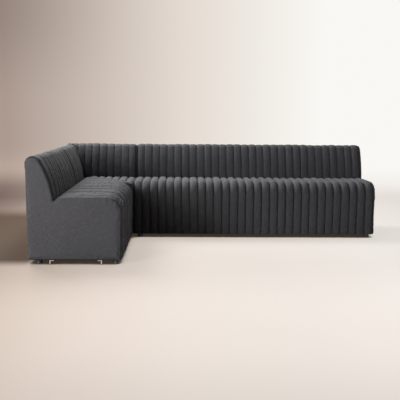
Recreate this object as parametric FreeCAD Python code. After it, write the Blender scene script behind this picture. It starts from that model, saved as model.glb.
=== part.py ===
# Sectional sofa: a corner unit, a long run to its right and a shorter return in front of it.
# Each unit is a timber frame with sinuous springs, foam and channelled upholstery, on short round feet,
# and hangs on its neighbour by hook plates that drop over pins under the base.
import FreeCAD
import Part
import math
import os

# Overall sizes in millimetres
TOTAL_HEIGHT = 800.0
MODULE_DEPTH = 700.0
LONG_LENGTH = 2160.0
RETURN_LENGTH = 1094.0
MODULE_GAP = 3.0
LONG_CHANNEL_COUNT = 30
RETURN_CHANNEL_COUNT = 15
CORNER_CHANNEL_COUNT = 7

# Profile of seat and back, measured forward from the rear (u) and up from the floor (z)
BASE_HEIGHT = 31.0
SEAT_HEIGHT = 498.0
CREASE_DEPTH = 208.0
CREASE_DROP = 29.0
NOSE_RADIUS = 120.0
SEAT_REAR_RADIUS = 100.0
SEAT_CROWN_RADIUS = 4000.0
BACK_TOP_RADIUS = 60.0
BACK_FACE_RADIUS = 700.0
REAR_LEAN = 0.8
FRONT_TUCK = 0.6
REAR_SEAM_DROP = 100.0

# Upholstery
COVER_THICKNESS = 24.0
CHANNEL_DEPTH = 13.0
CHANNEL_CROWN = 10.0
SEAM_WIDTH = 2.0
CREASE_CLEARANCE = 0.8
END_PANEL_THICKNESS = 20.0
END_PANEL_ROUND = 9.0
END_PANEL_RECESS = 1.0
JOINT_PANEL_THICKNESS = 4.0
JOINT_PANEL_RECESS = 9.0
OUTSIDE_BACK_THICKNESS = 6.0
OUTSIDE_BACK_RECESS = 2.0
DUST_COVER_THICKNESS = 2.0
FRONT_FOAM = 12.0
SEAT_FOAM = 97.0
FOAM_CLEARANCE = 0.3
FRAME_CLEARANCE = 0.05
FOAM_LIP = 40.0
DECK_PAD = 4.0

# Timber frame
PLY = 18.0
BOARD = 5.0
RAIL_THICKNESS = 22.0
SEAT_RAIL_HEIGHT = 70.0
BASE_RAIL_WIDTH = 80.0
TOP_RAIL_DEPTH = 50.0
TOP_RAIL_INSET = 30.0
TOP_RAIL_HEIGHT = 56.0
BACK_FOOT_DEPTH = 120.0
RIB_SPACING = 600.0
CORNER_POST = 60.0

# Springs and their clips
WIRE = 4.0
SPRING_SPACING = 110.0
SPRING_WIDTH = 64.0
SPRING_RUN_COUNT = 12
CLIP_SHEET = 1.5
CLIP_LENGTH = 30.0
CLIP_DEPTH = 16.0
WIRE_CLEARANCE = 0.3

# Feet, their studs and nuts
FOOT_RADIUS = 25.0
FOOT_FLARE = 2.0
FOOT_GROOVE = 1.5
FOOT_FRONT_INSET = 50.0
FOOT_REAR_INSET = 86.0
FOOT_END_INSET = 60.0
STUD_RADIUS = 4.0
STUD_SINK = 18.0
STUD_STANDOUT = 10.0
NUT_RADIUS = 7.5
NUT_HEIGHT = 6.5
HOLE_CLEARANCE = 0.1

# Hook plates and pins that join the units
HOOK_REAR_INSET = 174.0
HOOK_FRONT_INSET = 153.0
HOOK_THICKNESS = 6.0
HOOK_LENGTH = 52.0
HOOK_DROP = 25.0
HOOK_FLANGE = 30.0
PLATE = 3.0
PIN_RADIUS = 4.0
PIN_HEIGHT = 12.0
PIN_REACH = 24.0
PIN_CLEARANCE = 0.4
ARM_THICKNESS = 4.0
ARM_REACH = 34.0
ARM_LOW = 5.0
ARM_HIGH = 19.0
ARM_ROOT = 58.0
ARM_SIDE_GAP = 1.0
JOINT_SETBACK = 5.0
SCREW_RADIUS = 2.2
SCREW_HEAD_RADIUS = 4.2
SCREW_HEAD = 2.0
SCREW_LENGTH = 25.0
SCREW_PITCH = 20.0
BLOCK_WIDTH = 66.0
BLOCK_LENGTH = 60.0
BLOCK_HEIGHT = 40.0

# Heights and depths that follow from the sizes above
FRAME_BOTTOM = BASE_HEIGHT + DUST_COVER_THICKNESS
SPRING_ROOM = 2 * CLIP_SHEET + WIRE + 2 * WIRE_CLEARANCE
RAIL_TOP = SEAT_HEIGHT - COVER_THICKNESS - SEAT_FOAM - DECK_PAD - SPRING_ROOM
DECK_BOTTOM = RAIL_TOP + SPRING_ROOM
DECK_TOP = DECK_BOTTOM + DECK_PAD
FRAME_FRONT = MODULE_DEPTH - COVER_THICKNESS - FRONT_FOAM
REAR_SEAM = TOTAL_HEIGHT - REAR_SEAM_DROP
RIB_TOP = REAR_SEAM - JOINT_PANEL_THICKNESS
TOP_RAIL_TOP = RIB_TOP + TOP_RAIL_HEIGHT
FRAME_REAR_INSET = OUTSIDE_BACK_RECESS + OUTSIDE_BACK_THICKNESS + FRAME_CLEARANCE
CORNER_INNER = MODULE_DEPTH - JOINT_PANEL_THICKNESS - PLY
OUT_OF_THE_WAY = 50.0
CUT_MARGIN = 1.0

TOTAL_WIDTH = MODULE_DEPTH + MODULE_GAP + LONG_LENGTH
TOTAL_DEPTH = MODULE_DEPTH + MODULE_GAP + RETURN_LENGTH


# Profile geometry: points are (u, z), and every segment keeps the outside on its left
class Segment:
    """A straight line, or a convex arc when it has a centre."""

    def __init__(self, start, end, centre=None):
        self.start = start
        self.end = end
        self.centre = centre

    def normal(self, point):
        """Unit vector out of the upholstery at a point of the segment."""
        if self.centre:
            du, dz = point[0] - self.centre[0], point[1] - self.centre[1]
        else:
            du, dz = self.start[1] - self.end[1], self.end[0] - self.start[0]
        length = math.hypot(du, dz)
        return du / length, dz / length

    def out(self, point, distance):
        """The point moved out by a distance."""
        nu, nz = self.normal(point)
        return point[0] + distance * nu, point[1] + distance * nz

    def moved(self, distance):
        """The segment moved out by a distance, or in where it is negative."""
        return Segment(self.out(self.start, distance), self.out(self.end, distance), self.centre)

    def edge(self, x):
        """The segment as an edge in the plane across the unit at x."""
        first, last = place(x, self.start), place(x, self.end)
        if not self.centre:
            return Part.LineSegment(first, last).toShape()
        middle = ((self.start[0] + self.end[0]) / 2, (self.start[1] + self.end[1]) / 2)
        radius = math.dist(self.start, self.centre)
        reach = radius / math.dist(middle, self.centre)
        crest = [c + reach * (m - c) for m, c in zip(middle, self.centre)]
        return Part.Arc(first, place(x, crest), last).toShape()


def place(x, point):
    """A profile point in a unit's own frame: rear at y 0, front at minus y."""
    return FreeCAD.Vector(x, -point[0], point[1])


def moved(path, distance):
    return [segment.moved(distance) for segment in path]


def corners(points):
    """Straight segments through a list of points."""
    return [Segment(a, b) for a, b in zip(points, points[1:])]


def wire(path, x):
    """Closed wire through a path, with one straight line back to its start."""
    closing = Segment(path[-1].end, path[0].start)
    return Part.Wire([segment.edge(x) for segment in path + [closing]])


def prism(path, x_low, x_high):
    """Solid with a closed profile, from one end of a unit to the other."""
    return Part.Face(wire(path, x_low)).extrude(FreeCAD.Vector(x_high - x_low, 0, 0))


def box(x, u, z):
    """Box between pairs of limits along the unit, from its rear and up."""
    corner = FreeCAD.Vector(x[0], -u[1], z[0])
    return Part.makeBox(x[1] - x[0], u[1] - u[0], z[1] - z[0], corner)


def upright(radius, x, u, z):
    """Vertical cylinder between two heights."""
    return Part.makeCylinder(radius, z[1] - z[0], FreeCAD.Vector(x, -u, z[0]))


def inside_centre(first, first_radius, second, second_radius, radius):
    """Centre of the large arc that touches two smaller circles from outside, on their inner side."""
    a, b = radius - first_radius, radius - second_radius
    apart = math.dist(first, second)
    along = (a * a - b * b + apart * apart) / (2 * apart)
    aside = math.sqrt(a * a - along * along)
    du, dz = (second[0] - first[0]) / apart, (second[1] - first[1]) / apart
    return first[0] + along * du + aside * dz, first[1] + along * dz - aside * du


def touch(large, small, radius):
    """Point where a large arc about one centre touches the small circle about another."""
    apart = math.dist(large, small)
    return tuple(s + radius * (s - big) / apart for s, big in zip(small, large))


BACK_TOP = (BACK_TOP_RADIUS, TOTAL_HEIGHT - BACK_TOP_RADIUS)
CREASE_HEIGHT = SEAT_HEIGHT - CREASE_DROP


def rear_line(z_low):
    """Straight rear of the back, from a height up to where the top begins to round."""
    lean = math.radians(REAR_LEAN)
    top = (BACK_TOP[0] - BACK_TOP_RADIUS * math.cos(lean), BACK_TOP[1] - BACK_TOP_RADIUS * math.sin(lean))
    return Segment((top[0] + (top[1] - z_low) * math.tan(lean), z_low), top)


def back_path(z_low):
    """Up the rear, over the rounded top and down the front of the back to the crease."""
    rear = rear_line(z_low)
    crease = (CREASE_DEPTH - CREASE_CLEARANCE / 2, CREASE_HEIGHT)
    hollow = inside_centre(BACK_TOP, BACK_TOP_RADIUS, crease, 0, BACK_FACE_RADIUS)
    brow = touch(hollow, BACK_TOP, BACK_TOP_RADIUS)
    return [rear, Segment(rear.end, brow, BACK_TOP), Segment(brow, crease, hollow)]


def seat_rear():
    """Start of the seat at the crease, and the centre of the arc that rises from it."""
    start = (CREASE_DEPTH + CREASE_CLEARANCE / 2, CREASE_HEIGHT)
    rise = SEAT_REAR_RADIUS - CREASE_DROP
    run = math.sqrt(SEAT_REAR_RADIUS**2 - rise**2)
    return start, (start[0] + run, SEAT_HEIGHT - SEAT_REAR_RADIUS)


def seat_path(z_low):
    """From the crease over the crowned seat, round its nose and down the front."""
    start, hub = seat_rear()
    nose = (MODULE_DEPTH - NOSE_RADIUS, SEAT_HEIGHT - NOSE_RADIUS)
    crown = inside_centre(hub, SEAT_REAR_RADIUS, nose, NOSE_RADIUS, SEAT_CROWN_RADIUS)
    crown_rear = touch(crown, hub, SEAT_REAR_RADIUS)
    crown_front = touch(crown, nose, NOSE_RADIUS)
    tuck = math.radians(FRONT_TUCK)
    chin = (nose[0] + NOSE_RADIUS * math.cos(tuck), nose[1] - NOSE_RADIUS * math.sin(tuck))
    foot = (chin[0] - (chin[1] - z_low) * math.tan(tuck), z_low)
    arcs = [
        Segment(start, crown_rear, hub),
        Segment(crown_rear, crown_front, crown),
        Segment(crown_front, chin, nose),
    ]
    return arcs + [Segment(chin, foot)]


def corner_seat_path():
    """From the crease over the flat seat of the corner unit to its open edge."""
    start, hub = seat_rear()
    flat = (hub[0], SEAT_HEIGHT)
    return [Segment(start, flat, hub), Segment(flat, (MODULE_DEPTH, SEAT_HEIGHT))]


def outline(inset, seat):
    """Closed outline of a unit's end, inside the upholstery by an inset, down to the base."""
    back = moved(back_path(BASE_HEIGHT + inset), -inset)
    front = moved(seat, -inset)
    return back + [Segment(back[-1].end, front[0].start)] + front


def corner_outline(inset, depth):
    """The same for the corner unit, whose seat runs flat to its open edge."""
    path = outline(inset, corner_seat_path())
    path[-1] = Segment(path[-1].start, (depth, path[-1].end[1]))
    return path + [Segment(path[-1].end, (depth, BASE_HEIGHT + inset))]


# Upholstery
def channel_section(first, seams):
    """Closed section of a channelled pad across its channels: rounded rolls with seams between."""
    crown = math.radians(CHANNEL_CROWN)
    rise = math.tan(crown / 2)

    def at(x, depth):
        return place(x, first.out(first.start, -depth))

    edges = []
    for left, right in zip(seams, seams[1:]):
        low, high = left + SEAM_WIDTH / 2, right - SEAM_WIDTH / 2
        half = (high - low) / 2
        bend = (CHANNEL_DEPTH - half * rise) / (math.cos(crown) - (1 - math.sin(crown)) * rise)
        shoulder = bend * (1 - math.sin(crown))
        shoulder_depth = CHANNEL_DEPTH - bend * math.cos(crown)
        turn = (math.pi / 2 - crown) / 2
        quarter = bend * (1 - math.cos(turn))
        quarter_depth = CHANNEL_DEPTH - bend * math.sin(turn)
        rolls = [
            (low, CHANNEL_DEPTH),
            (low + quarter, quarter_depth),
            (low + shoulder, shoulder_depth),
            ((low + high) / 2, 0),
            (high - shoulder, shoulder_depth),
            (high - quarter, quarter_depth),
            (high, CHANNEL_DEPTH),
        ]
        points = [at(*roll) for roll in rolls]
        edges.append(Part.LineSegment(at(left, CHANNEL_DEPTH), points[0]).toShape())
        for k in (0, 2, 4):
            edges.append(Part.Arc(points[k], points[k + 1], points[k + 2]).toShape())
        edges.append(Part.LineSegment(points[-1], at(right, CHANNEL_DEPTH)).toShape())
    underside = [
        at(seams[-1], CHANNEL_DEPTH),
        at(seams[-1], COVER_THICKNESS),
        at(seams[0], COVER_THICKNESS),
        at(seams[0], CHANNEL_DEPTH),
    ]
    edges += [Part.LineSegment(a, b).toShape() for a, b in zip(underside, underside[1:])]
    return Part.Wire(edges)


def channelled_cover(path, seams):
    """Channelled pad that follows a path over the seat or the back."""
    spine = Part.Wire([segment.edge(seams[0]) for segment in path])
    sweep = Part.BRepOffsetAPI.MakePipeShell(spine)
    sweep.setBiNormalMode(FreeCAD.Vector(1, 0, 0))
    sweep.add(channel_section(path[0], seams))
    sweep.build()
    sweep.makeSolid()
    return sweep.shape()


def even_seams(low, high, channels):
    return [low + (high - low) * k / channels for k in range(channels + 1)]


def end_panel(x_inner, x_outer):
    """Padded panel over the free end of a unit, rounded off along its outer edge."""
    outward = math.copysign(1, x_outer - x_inner)
    slope = math.radians(45)
    steps = [
        (0, x_inner),
        (0, x_outer - outward * END_PANEL_ROUND),
        (1 - math.cos(slope), x_outer - outward * END_PANEL_ROUND * (1 - math.sin(slope))),
        (1, x_outer),
    ]
    rings = []
    for share, x in steps:
        inset = END_PANEL_RECESS + share * END_PANEL_ROUND
        rings.append(wire(outline(inset, seat_path(BASE_HEIGHT + inset)), x))
    return Part.makeLoft(rings, True, True)


def joint_panel(x_low, x_high):
    """Thin fabric panel that closes the end of a unit against its neighbour."""
    inset = JOINT_PANEL_RECESS
    return prism(outline(inset, seat_path(BASE_HEIGHT)), x_low, x_high)


def outside_back_path():
    line = rear_line(BASE_HEIGHT)
    rear = Segment(line.start, rear_line(REAR_SEAM).start)
    face = rear.moved(-OUTSIDE_BACK_RECESS)
    inner = face.moved(-OUTSIDE_BACK_THICKNESS)
    return corners([face.start, face.end, inner.end, inner.start])


def board_front(z):
    """Depth of the back board's front face at a height."""
    return frame_slope(z) + BOARD


def frame_slope(z):
    """Depth of the sloping front edge of the back frame at a height."""
    share = (z - RAIL_TOP) / (RIB_TOP - RAIL_TOP)
    return BACK_FOOT_DEPTH + share * (TOP_RAIL_INSET + TOP_RAIL_DEPTH - BACK_FOOT_DEPTH)


def foam_split():
    """Height at which the back foam stands on the seat foam, just under the crease."""
    start = moved(seat_path(BASE_HEIGHT), -COVER_THICKNESS - FOAM_CLEARANCE)[0].start
    return start[1] - COVER_THICKNESS / 4


def back_foam_path():
    """Foam of the back: in front of the board and wrapped over the top rail."""
    skin = moved(back_path(REAR_SEAM), -COVER_THICKNESS - FOAM_CLEARANCE)
    low = foam_split() + FOAM_CLEARANCE
    rear = TOP_RAIL_INSET - FOAM_CLEARANCE
    top = TOP_RAIL_TOP + FOAM_CLEARANCE
    inner = [
        skin[-1].end,
        (skin[-1].end[0], low),
        (board_front(low) + FOAM_CLEARANCE, low),
        (board_front(top) + FOAM_CLEARANCE, top),
        (rear, top),
        (rear, skin[0].start[1]),
    ]
    return skin + corners(inner)


def seat_foam_path(skin):
    """Foam of the seat: from the back board to the inside of the cover, on the deck pad."""
    split = foam_split()
    rear = [
        (board_front(DECK_TOP) + FOAM_CLEARANCE, DECK_TOP),
        (board_front(split) + FOAM_CLEARANCE, split),
        (skin[0].start[0], split),
        skin[0].start,
    ]
    return corners(rear) + skin


def straight_seat_foam_path():
    """The same for a straight unit, with a lip down over the front rail."""
    low = DECK_TOP - FOAM_LIP
    path = seat_foam_path(moved(seat_path(low), -COVER_THICKNESS - FOAM_CLEARANCE))
    front = FRAME_FRONT + FOAM_CLEARANCE
    return path + corners([path[-1].end, (front, path[-1].end[1]), (front, DECK_TOP)])


def front_foam_path():
    """Foam down the front, from under the lip of the seat foam to the base."""
    front = moved(seat_path(FRAME_BOTTOM), -COVER_THICKNESS - FOAM_CLEARANCE)[-1]
    top = DECK_TOP - FOAM_LIP - 2 * FOAM_CLEARANCE
    lean = (front.start[0] - front.end[0]) / (front.start[1] - front.end[1])
    crest = (front.end[0] + (top - front.end[1]) * lean, top)
    return corners([(FRAME_FRONT, FRAME_BOTTOM), (FRAME_FRONT, top), crest, front.end])


def base_reach():
    """Rear and front limits of the dust cover, inside the fabric at the base."""
    rear = rear_line(BASE_HEIGHT).moved(-FRAME_REAR_INSET).start[0]
    front = moved(seat_path(BASE_HEIGHT), -COVER_THICKNESS - FOAM_CLEARANCE)[-1].end[0]
    return rear, front


# Timber frame
def rib_path(front):
    """Side frame of a unit: base, seat and sloping back in one plywood piece."""
    rear = rear_line(FRAME_BOTTOM).moved(-FRAME_REAR_INSET)
    high = rear_line(RIB_TOP).moved(-FRAME_REAR_INSET)
    points = [
        (rear.start[0], FRAME_BOTTOM),
        (high.start[0], RIB_TOP),
        (TOP_RAIL_INSET + TOP_RAIL_DEPTH, RIB_TOP),
        (BACK_FOOT_DEPTH, RAIL_TOP),
        (front, RAIL_TOP),
        (front, FRAME_BOTTOM),
    ]
    return corners(points)


def top_rail_path():
    front_top = frame_slope(TOP_RAIL_TOP)
    points = [
        (TOP_RAIL_INSET, RIB_TOP),
        (TOP_RAIL_INSET, TOP_RAIL_TOP),
        (front_top, TOP_RAIL_TOP),
        (TOP_RAIL_INSET + TOP_RAIL_DEPTH, RIB_TOP),
    ]
    return corners(points)


def back_board_path():
    low = DECK_TOP + FOAM_CLEARANCE
    points = [
        (frame_slope(low), low),
        (frame_slope(TOP_RAIL_TOP), TOP_RAIL_TOP),
        (board_front(TOP_RAIL_TOP), TOP_RAIL_TOP),
        (board_front(low), low),
    ]
    return corners(points)


def base_rail_rear():
    """Depth of the rear base rail's outer edge."""
    return rear_line(FRAME_BOTTOM).moved(-FRAME_REAR_INSET).start[0]


def base_rail_heights():
    return FRAME_BOTTOM, FRAME_BOTTOM + RAIL_THICKNESS


def seat_rail_heights():
    return RAIL_TOP - SEAT_RAIL_HEIGHT, RAIL_TOP


def rib_places(x_low, x_high):
    """Where the ribs of a straight unit start: one at each end, and as many between as the spacing asks."""
    bays = math.ceil((x_high - x_low - PLY) / RIB_SPACING)
    return [x_low + (x_high - PLY - x_low) * k / bays for k in range(bays + 1)]


# Springs, feet and connectors
def spring(x, u_rear, u_front):
    """One sinuous spring from the rear rail to the front rail, flat over the rails."""
    z = RAIL_TOP + CLIP_SHEET + WIRE_CLEARANCE + WIRE / 2
    pitch = (u_front - u_rear) / SPRING_RUN_COUNT
    bend = pitch / 2
    half = SPRING_WIDTH / 2 - bend
    edges = []
    for k in range(SPRING_RUN_COUNT + 1):
        side = 1 if k % 2 else -1
        u = u_rear + k * pitch
        run = [FreeCAD.Vector(x - side * half, -u, z), FreeCAD.Vector(x + side * half, -u, z)]
        edges.append(Part.LineSegment(*run).toShape())
        if k < SPRING_RUN_COUNT:
            crest = FreeCAD.Vector(x + side * (half + bend), -u - bend, z)
            last = FreeCAD.Vector(x + side * half, -u - pitch, z)
            edges.append(Part.Arc(run[1], crest, last).toShape())
    first = FreeCAD.Vector(x + half, -u_rear, z)
    section = Part.Wire(Part.makeCircle(WIRE / 2, first, FreeCAD.Vector(1, 0, 0)))
    return Part.Wire(edges).makePipeShell([section], True, False)


def spring_clip(x, u, facing):
    """Bent steel clip over the end run of a spring, open towards the middle of the seat."""
    back, mouth = u - facing * CLIP_DEPTH / 2, u + facing * CLIP_DEPTH / 2
    wall = back + facing * CLIP_SHEET
    low, high = RAIL_TOP + CLIP_SHEET, RAIL_TOP + SPRING_ROOM - CLIP_SHEET
    points = [
        (back, RAIL_TOP),
        (back, RAIL_TOP + SPRING_ROOM),
        (mouth, RAIL_TOP + SPRING_ROOM),
        (mouth, high),
        (wall, high),
        (wall, low),
        (mouth, low),
        (mouth, RAIL_TOP),
    ]
    return prism(corners(points), x - CLIP_LENGTH / 2, x + CLIP_LENGTH / 2)


def spring_places(x_low, x_high):
    count = max(1, int((x_high - x_low) / SPRING_SPACING))
    pitch = (x_high - x_low) / count
    return [x_low + (k + 0.5) * pitch for k in range(count)]


def foot(x, u):
    """Round foot, flared at the floor, with a groove under the base and a blind hole for its stud."""
    points = [
        (0, 0),
        (FOOT_RADIUS - FOOT_GROOVE, 0),
        (FOOT_RADIUS, FOOT_GROOVE),
        (FOOT_RADIUS - FOOT_FLARE, BASE_HEIGHT / 2),
        (FOOT_RADIUS - FOOT_FLARE, BASE_HEIGHT - 2 * FOOT_GROOVE),
        (FOOT_RADIUS - FOOT_FLARE - FOOT_GROOVE, BASE_HEIGHT - FOOT_GROOVE),
        (FOOT_RADIUS - FOOT_FLARE - FOOT_GROOVE, BASE_HEIGHT),
        (0, BASE_HEIGHT),
    ]
    half = Part.Face(Part.makePolygon([FreeCAD.Vector(r, 0, z) for r, z in points + points[:1]]))
    turned = half.revolve(FreeCAD.Vector(0, 0, 0), FreeCAD.Vector(0, 0, 1), 360)
    turned.translate(FreeCAD.Vector(x, -u, 0))
    return turned.cut(stud_hole(x, u, BASE_HEIGHT - STUD_SINK, BASE_HEIGHT))


def stud_hole(x, u, z_low, z_high):
    return upright(STUD_RADIUS + HOLE_CLEARANCE, x, u, (z_low, z_high))


def stud_top():
    return FRAME_BOTTOM + RAIL_THICKNESS + NUT_HEIGHT + STUD_STANDOUT


def foot_fasteners(x, u):
    """Stud of a foot, and the nut that draws it up against the base rail."""
    stud = upright(STUD_RADIUS, x, u, (BASE_HEIGHT - STUD_SINK, stud_top()))
    seat = FRAME_BOTTOM + RAIL_THICKNESS
    turns = [math.radians(60 * k) for k in range(7)]
    ring = [(NUT_RADIUS * math.cos(a), NUT_RADIUS * math.sin(a)) for a in turns]
    ring = [FreeCAD.Vector(x + across, along - u, seat) for across, along in ring]
    nut = Part.Face(Part.makePolygon(ring)).extrude(FreeCAD.Vector(0, 0, NUT_HEIGHT))
    return [stud, nut.cut(stud_hole(x, u, seat, seat + NUT_HEIGHT))]


def hook_depths():
    """Depths of the two connectors across the end of a unit."""
    return [HOOK_REAR_INSET, MODULE_DEPTH - HOOK_FRONT_INSET]


def hook_flange_side(u):
    """The flanges of a pair face each other."""
    return 1 if u < MODULE_DEPTH / 2 else -1


def hook_plate(x_end, inward, u):
    """Hook plate under the end of a straight unit: a screwed flange and a leg with a notch for the pin."""
    start = x_end + inward * JOINT_SETBACK
    x = sorted((start, start + inward * HOOK_LENGTH))
    side = hook_flange_side(u)
    leg_u = (u - HOOK_THICKNESS / 2, u + HOOK_THICKNESS / 2)
    flange_u = sorted((u - side * HOOK_THICKNESS / 2, u + side * (HOOK_FLANGE - HOOK_THICKNESS / 2)))
    leg = box(x, leg_u, (BASE_HEIGHT - HOOK_DROP, BASE_HEIGHT - PLATE))
    plate = box(x, flange_u, (BASE_HEIGHT - PLATE, BASE_HEIGHT))
    pin_x = x_end + inward * (PIN_REACH - MODULE_GAP)
    half = PIN_RADIUS + PIN_CLEARANCE
    across = (leg_u[0] - CUT_MARGIN, leg_u[1] + CUT_MARGIN)
    notch = box((pin_x - half, pin_x + half), across, (0, PIN_HEIGHT))
    round_top = Part.makeCylinder(
        half, across[1] - across[0], FreeCAD.Vector(pin_x, -across[1], PIN_HEIGHT), FreeCAD.Vector(0, 1, 0)
    )
    body = plate.fuse(leg).removeSplitter().cut(notch.fuse(round_top))
    return body.cut(Part.makeCompound([screw_hole(*place) for place in hook_screws(x_end, inward, u)]))


def hook_screws(x_end, inward, u):
    """Where the two screws of a hook plate go, in the middle of its free flange."""
    offset = hook_flange_side(u) * HOOK_FLANGE / 2
    far = x_end + inward * (JOINT_SETBACK + HOOK_LENGTH - SCREW_PITCH / 2)
    return [(far - inward * k * SCREW_PITCH, u + offset) for k in range(2)]


def pin_bracket(u):
    """Bracket under the right edge of the corner unit: a screwed plate and two arms that carry the pin."""
    x_in, x_out = MODULE_DEPTH - ARM_ROOT, MODULE_DEPTH - JOINT_SETBACK
    inner = HOOK_THICKNESS / 2 + ARM_SIDE_GAP
    outer = inner + ARM_THICKNESS
    half = HOOK_FLANGE / 2
    plate = box((x_in, x_out), (u - half, u + half), (BASE_HEIGHT - PLATE, BASE_HEIGHT))
    parts = []
    for low, high in ((u - outer, u - inner), (u + inner, u + outer)):
        parts.append(box((x_out - PLATE * 4, x_out), (low, high), (ARM_LOW, BASE_HEIGHT - PLATE)))
        parts.append(box((x_out, MODULE_DEPTH + ARM_REACH), (low, high), (ARM_LOW, ARM_HIGH)))
    pin_start = FreeCAD.Vector(MODULE_DEPTH + PIN_REACH, -u - outer, PIN_HEIGHT)
    parts.append(Part.makeCylinder(PIN_RADIUS, 2 * outer, pin_start, FreeCAD.Vector(0, 1, 0)))
    body = plate.multiFuse(parts).removeSplitter()
    return body.cut(Part.makeCompound([screw_hole(*place) for place in pin_screws(u)]))


def pin_screws(u):
    """Where the two screws of a pin bracket go."""
    return [(MODULE_DEPTH - ARM_ROOT + SCREW_PITCH / 2 + k * SCREW_PITCH, u) for k in range(2)]


def screw_hole(x, u):
    return upright(SCREW_RADIUS + HOLE_CLEARANCE, x, u, (0, BASE_HEIGHT + SCREW_LENGTH))


def screw(x, u):
    """Wood screw up through a connector, the dust cover and into the block above."""
    head_low = BASE_HEIGHT - PLATE - SCREW_HEAD
    shank = upright(SCREW_RADIUS, x, u, (BASE_HEIGHT - PLATE, head_low + SCREW_LENGTH))
    return upright(SCREW_HEAD_RADIUS, x, u, (head_low, BASE_HEIGHT - PLATE)).fuse(shank).removeSplitter()


def connector_block(x_low, x_high, u):
    half = BLOCK_WIDTH / 2
    return box((x_low, x_high), (u - half, u + half), (FRAME_BOTTOM, FRAME_BOTTOM + BLOCK_HEIGHT))


def dust_cover(x, u, feet, screws):
    """Thin cloth under the base, pierced by the studs and screws."""
    sheet = box(x, u, (BASE_HEIGHT, FRAME_BOTTOM))
    holes = [stud_hole(*place, 0, FRAME_BOTTOM + CUT_MARGIN) for place in feet]
    return sheet.cut(Part.makeCompound(holes + [screw_hole(*place) for place in screws]))


def drilled(solids, holes):
    """Each solid with the holes taken out of it."""
    drill = Part.makeCompound(holes)
    return [solid.cut(drill) for solid in solids]


# Units
def straight_unit(length, channels, free_end_first):
    """Nodes of a straight unit. Its free end is at x 0 or at its far end; the other meets the corner."""
    if free_end_first:
        low, high = END_PANEL_THICKNESS, length - JOINT_PANEL_THICKNESS
        panel = end_panel(low, 0)
        joint = joint_panel(high, length)
    else:
        low, high = JOINT_PANEL_THICKNESS, length - END_PANEL_THICKNESS
        panel = end_panel(high, length)
        joint = joint_panel(0, low)
    seams = even_seams(low, high, channels)
    base = base_reach()

    rear_edge = base_rail_rear()
    rear_board = (rear_edge, rear_edge + BASE_RAIL_WIDTH)
    front_board = (FRAME_FRONT - BASE_RAIL_WIDTH, FRAME_FRONT)
    ribs_at = rib_places(low, high)
    base_rails = [box((low, high), reach, base_rail_heights()) for reach in (rear_board, front_board)]
    cross_reach = (rear_board[1], front_board[0])
    for x in ribs_at[1:-1]:
        base_rails.append(box((x + PLY, x + PLY + BASE_RAIL_WIDTH), cross_reach, base_rail_heights()))
    seat_reaches = [
        (BACK_FOOT_DEPTH, BACK_FOOT_DEPTH + RAIL_THICKNESS),
        (FRAME_FRONT - RAIL_THICKNESS, FRAME_FRONT),
    ]
    seat_rails = [box((low, high), reach, seat_rail_heights()) for reach in seat_reaches]

    ends = [FOOT_END_INSET, length - FOOT_END_INSET]
    feet = [(x, u) for x in ends for u in (FOOT_REAR_INSET, MODULE_DEPTH - FOOT_FRONT_INSET)]
    feet += [(x + PLY + BASE_RAIL_WIDTH / 2, MODULE_DEPTH / 2) for x in ribs_at[1:-1]]
    hooks = [(x, inward, u) for x, inward in ((0, 1), (length, -1)) for u in hook_depths()]
    screws = [place for hook in hooks for place in hook_screws(*hook)]
    block_spans = [(low + PLY, low + PLY + BLOCK_LENGTH), (high - PLY - BLOCK_LENGTH, high - PLY)]
    blocks = [
        connector_block(*span, u + hook_flange_side(u) * HOOK_FLANGE / 2)
        for span in block_spans
        for u in hook_depths()
    ]
    blocks = [block.cut(Part.makeCompound(base_rails)) for block in blocks]
    screw_holes = [screw_hole(*place) for place in screws]
    notches = Part.makeCompound(base_rails + seat_rails + screw_holes)
    ribs = [prism(rib_path(FRAME_FRONT), x, x + PLY).cut(notches) for x in ribs_at]
    stud_holes = [stud_hole(*place, 0, stud_top()) for place in feet]
    fasteners = [solid for place in feet for solid in foot_fasteners(*place)]
    springs_at = spring_places(low, high)
    spring_ends = [sum(reach) / 2 for reach in seat_reaches]

    return {
        "seat_cover": [channelled_cover(seat_path(BASE_HEIGHT), seams)],
        "back_cover": [channelled_cover(back_path(REAR_SEAM), seams)],
        "end_panel": [panel],
        "joint_panel": [joint],
        "outside_back": [prism(outside_back_path(), low, high)],
        "dust_cover": [dust_cover((low, high), base, feet, screws)],
        "seat_foam": [prism(straight_seat_foam_path(), low, high)],
        "front_foam": [prism(front_foam_path(), low, high)],
        "back_foam": [prism(back_foam_path(), low, high)],
        "ribs": ribs,
        "rails": drilled(base_rails, stud_holes) + seat_rails,
        "back_top_rail": [prism(top_rail_path(), low, high)],
        "back_board": [prism(back_board_path(), low, high)],
        "springs": [spring(x, *spring_ends) for x in springs_at],
        "spring_clips": [spring_clip(x, u, s) for x in springs_at for u, s in zip(spring_ends, (1, -1))],
        "deck_pad": [box((low, high), (BACK_FOOT_DEPTH, FRAME_FRONT), (DECK_BOTTOM, DECK_TOP))],
        "connector_blocks": drilled(blocks, screw_holes),
        "feet": [foot(*place) for place in feet],
        "fasteners": fasteners + [screw(*place) for place in screws],
        "hook_plates": [hook_plate(*hook) for hook in hooks],
    }


def mitre_prism():
    """The half of the corner unit on the rear back's side of its diagonal."""
    far = MODULE_DEPTH + OUT_OF_THE_WAY
    near = -OUT_OF_THE_WAY
    points = [FreeCAD.Vector(x, -u, near) for x, u in ((near, near), (far, near), (far, far))]
    face = Part.Face(Part.makePolygon(points + points[:1]))
    return face.extrude(FreeCAD.Vector(0, 0, TOTAL_HEIGHT + 2 * OUT_OF_THE_WAY))


def mirrored(shape):
    """The same piece on the other side of the corner unit's diagonal."""
    return shape.mirror(FreeCAD.Vector(0, 0, 0), FreeCAD.Vector(1, 1, 0))


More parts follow.
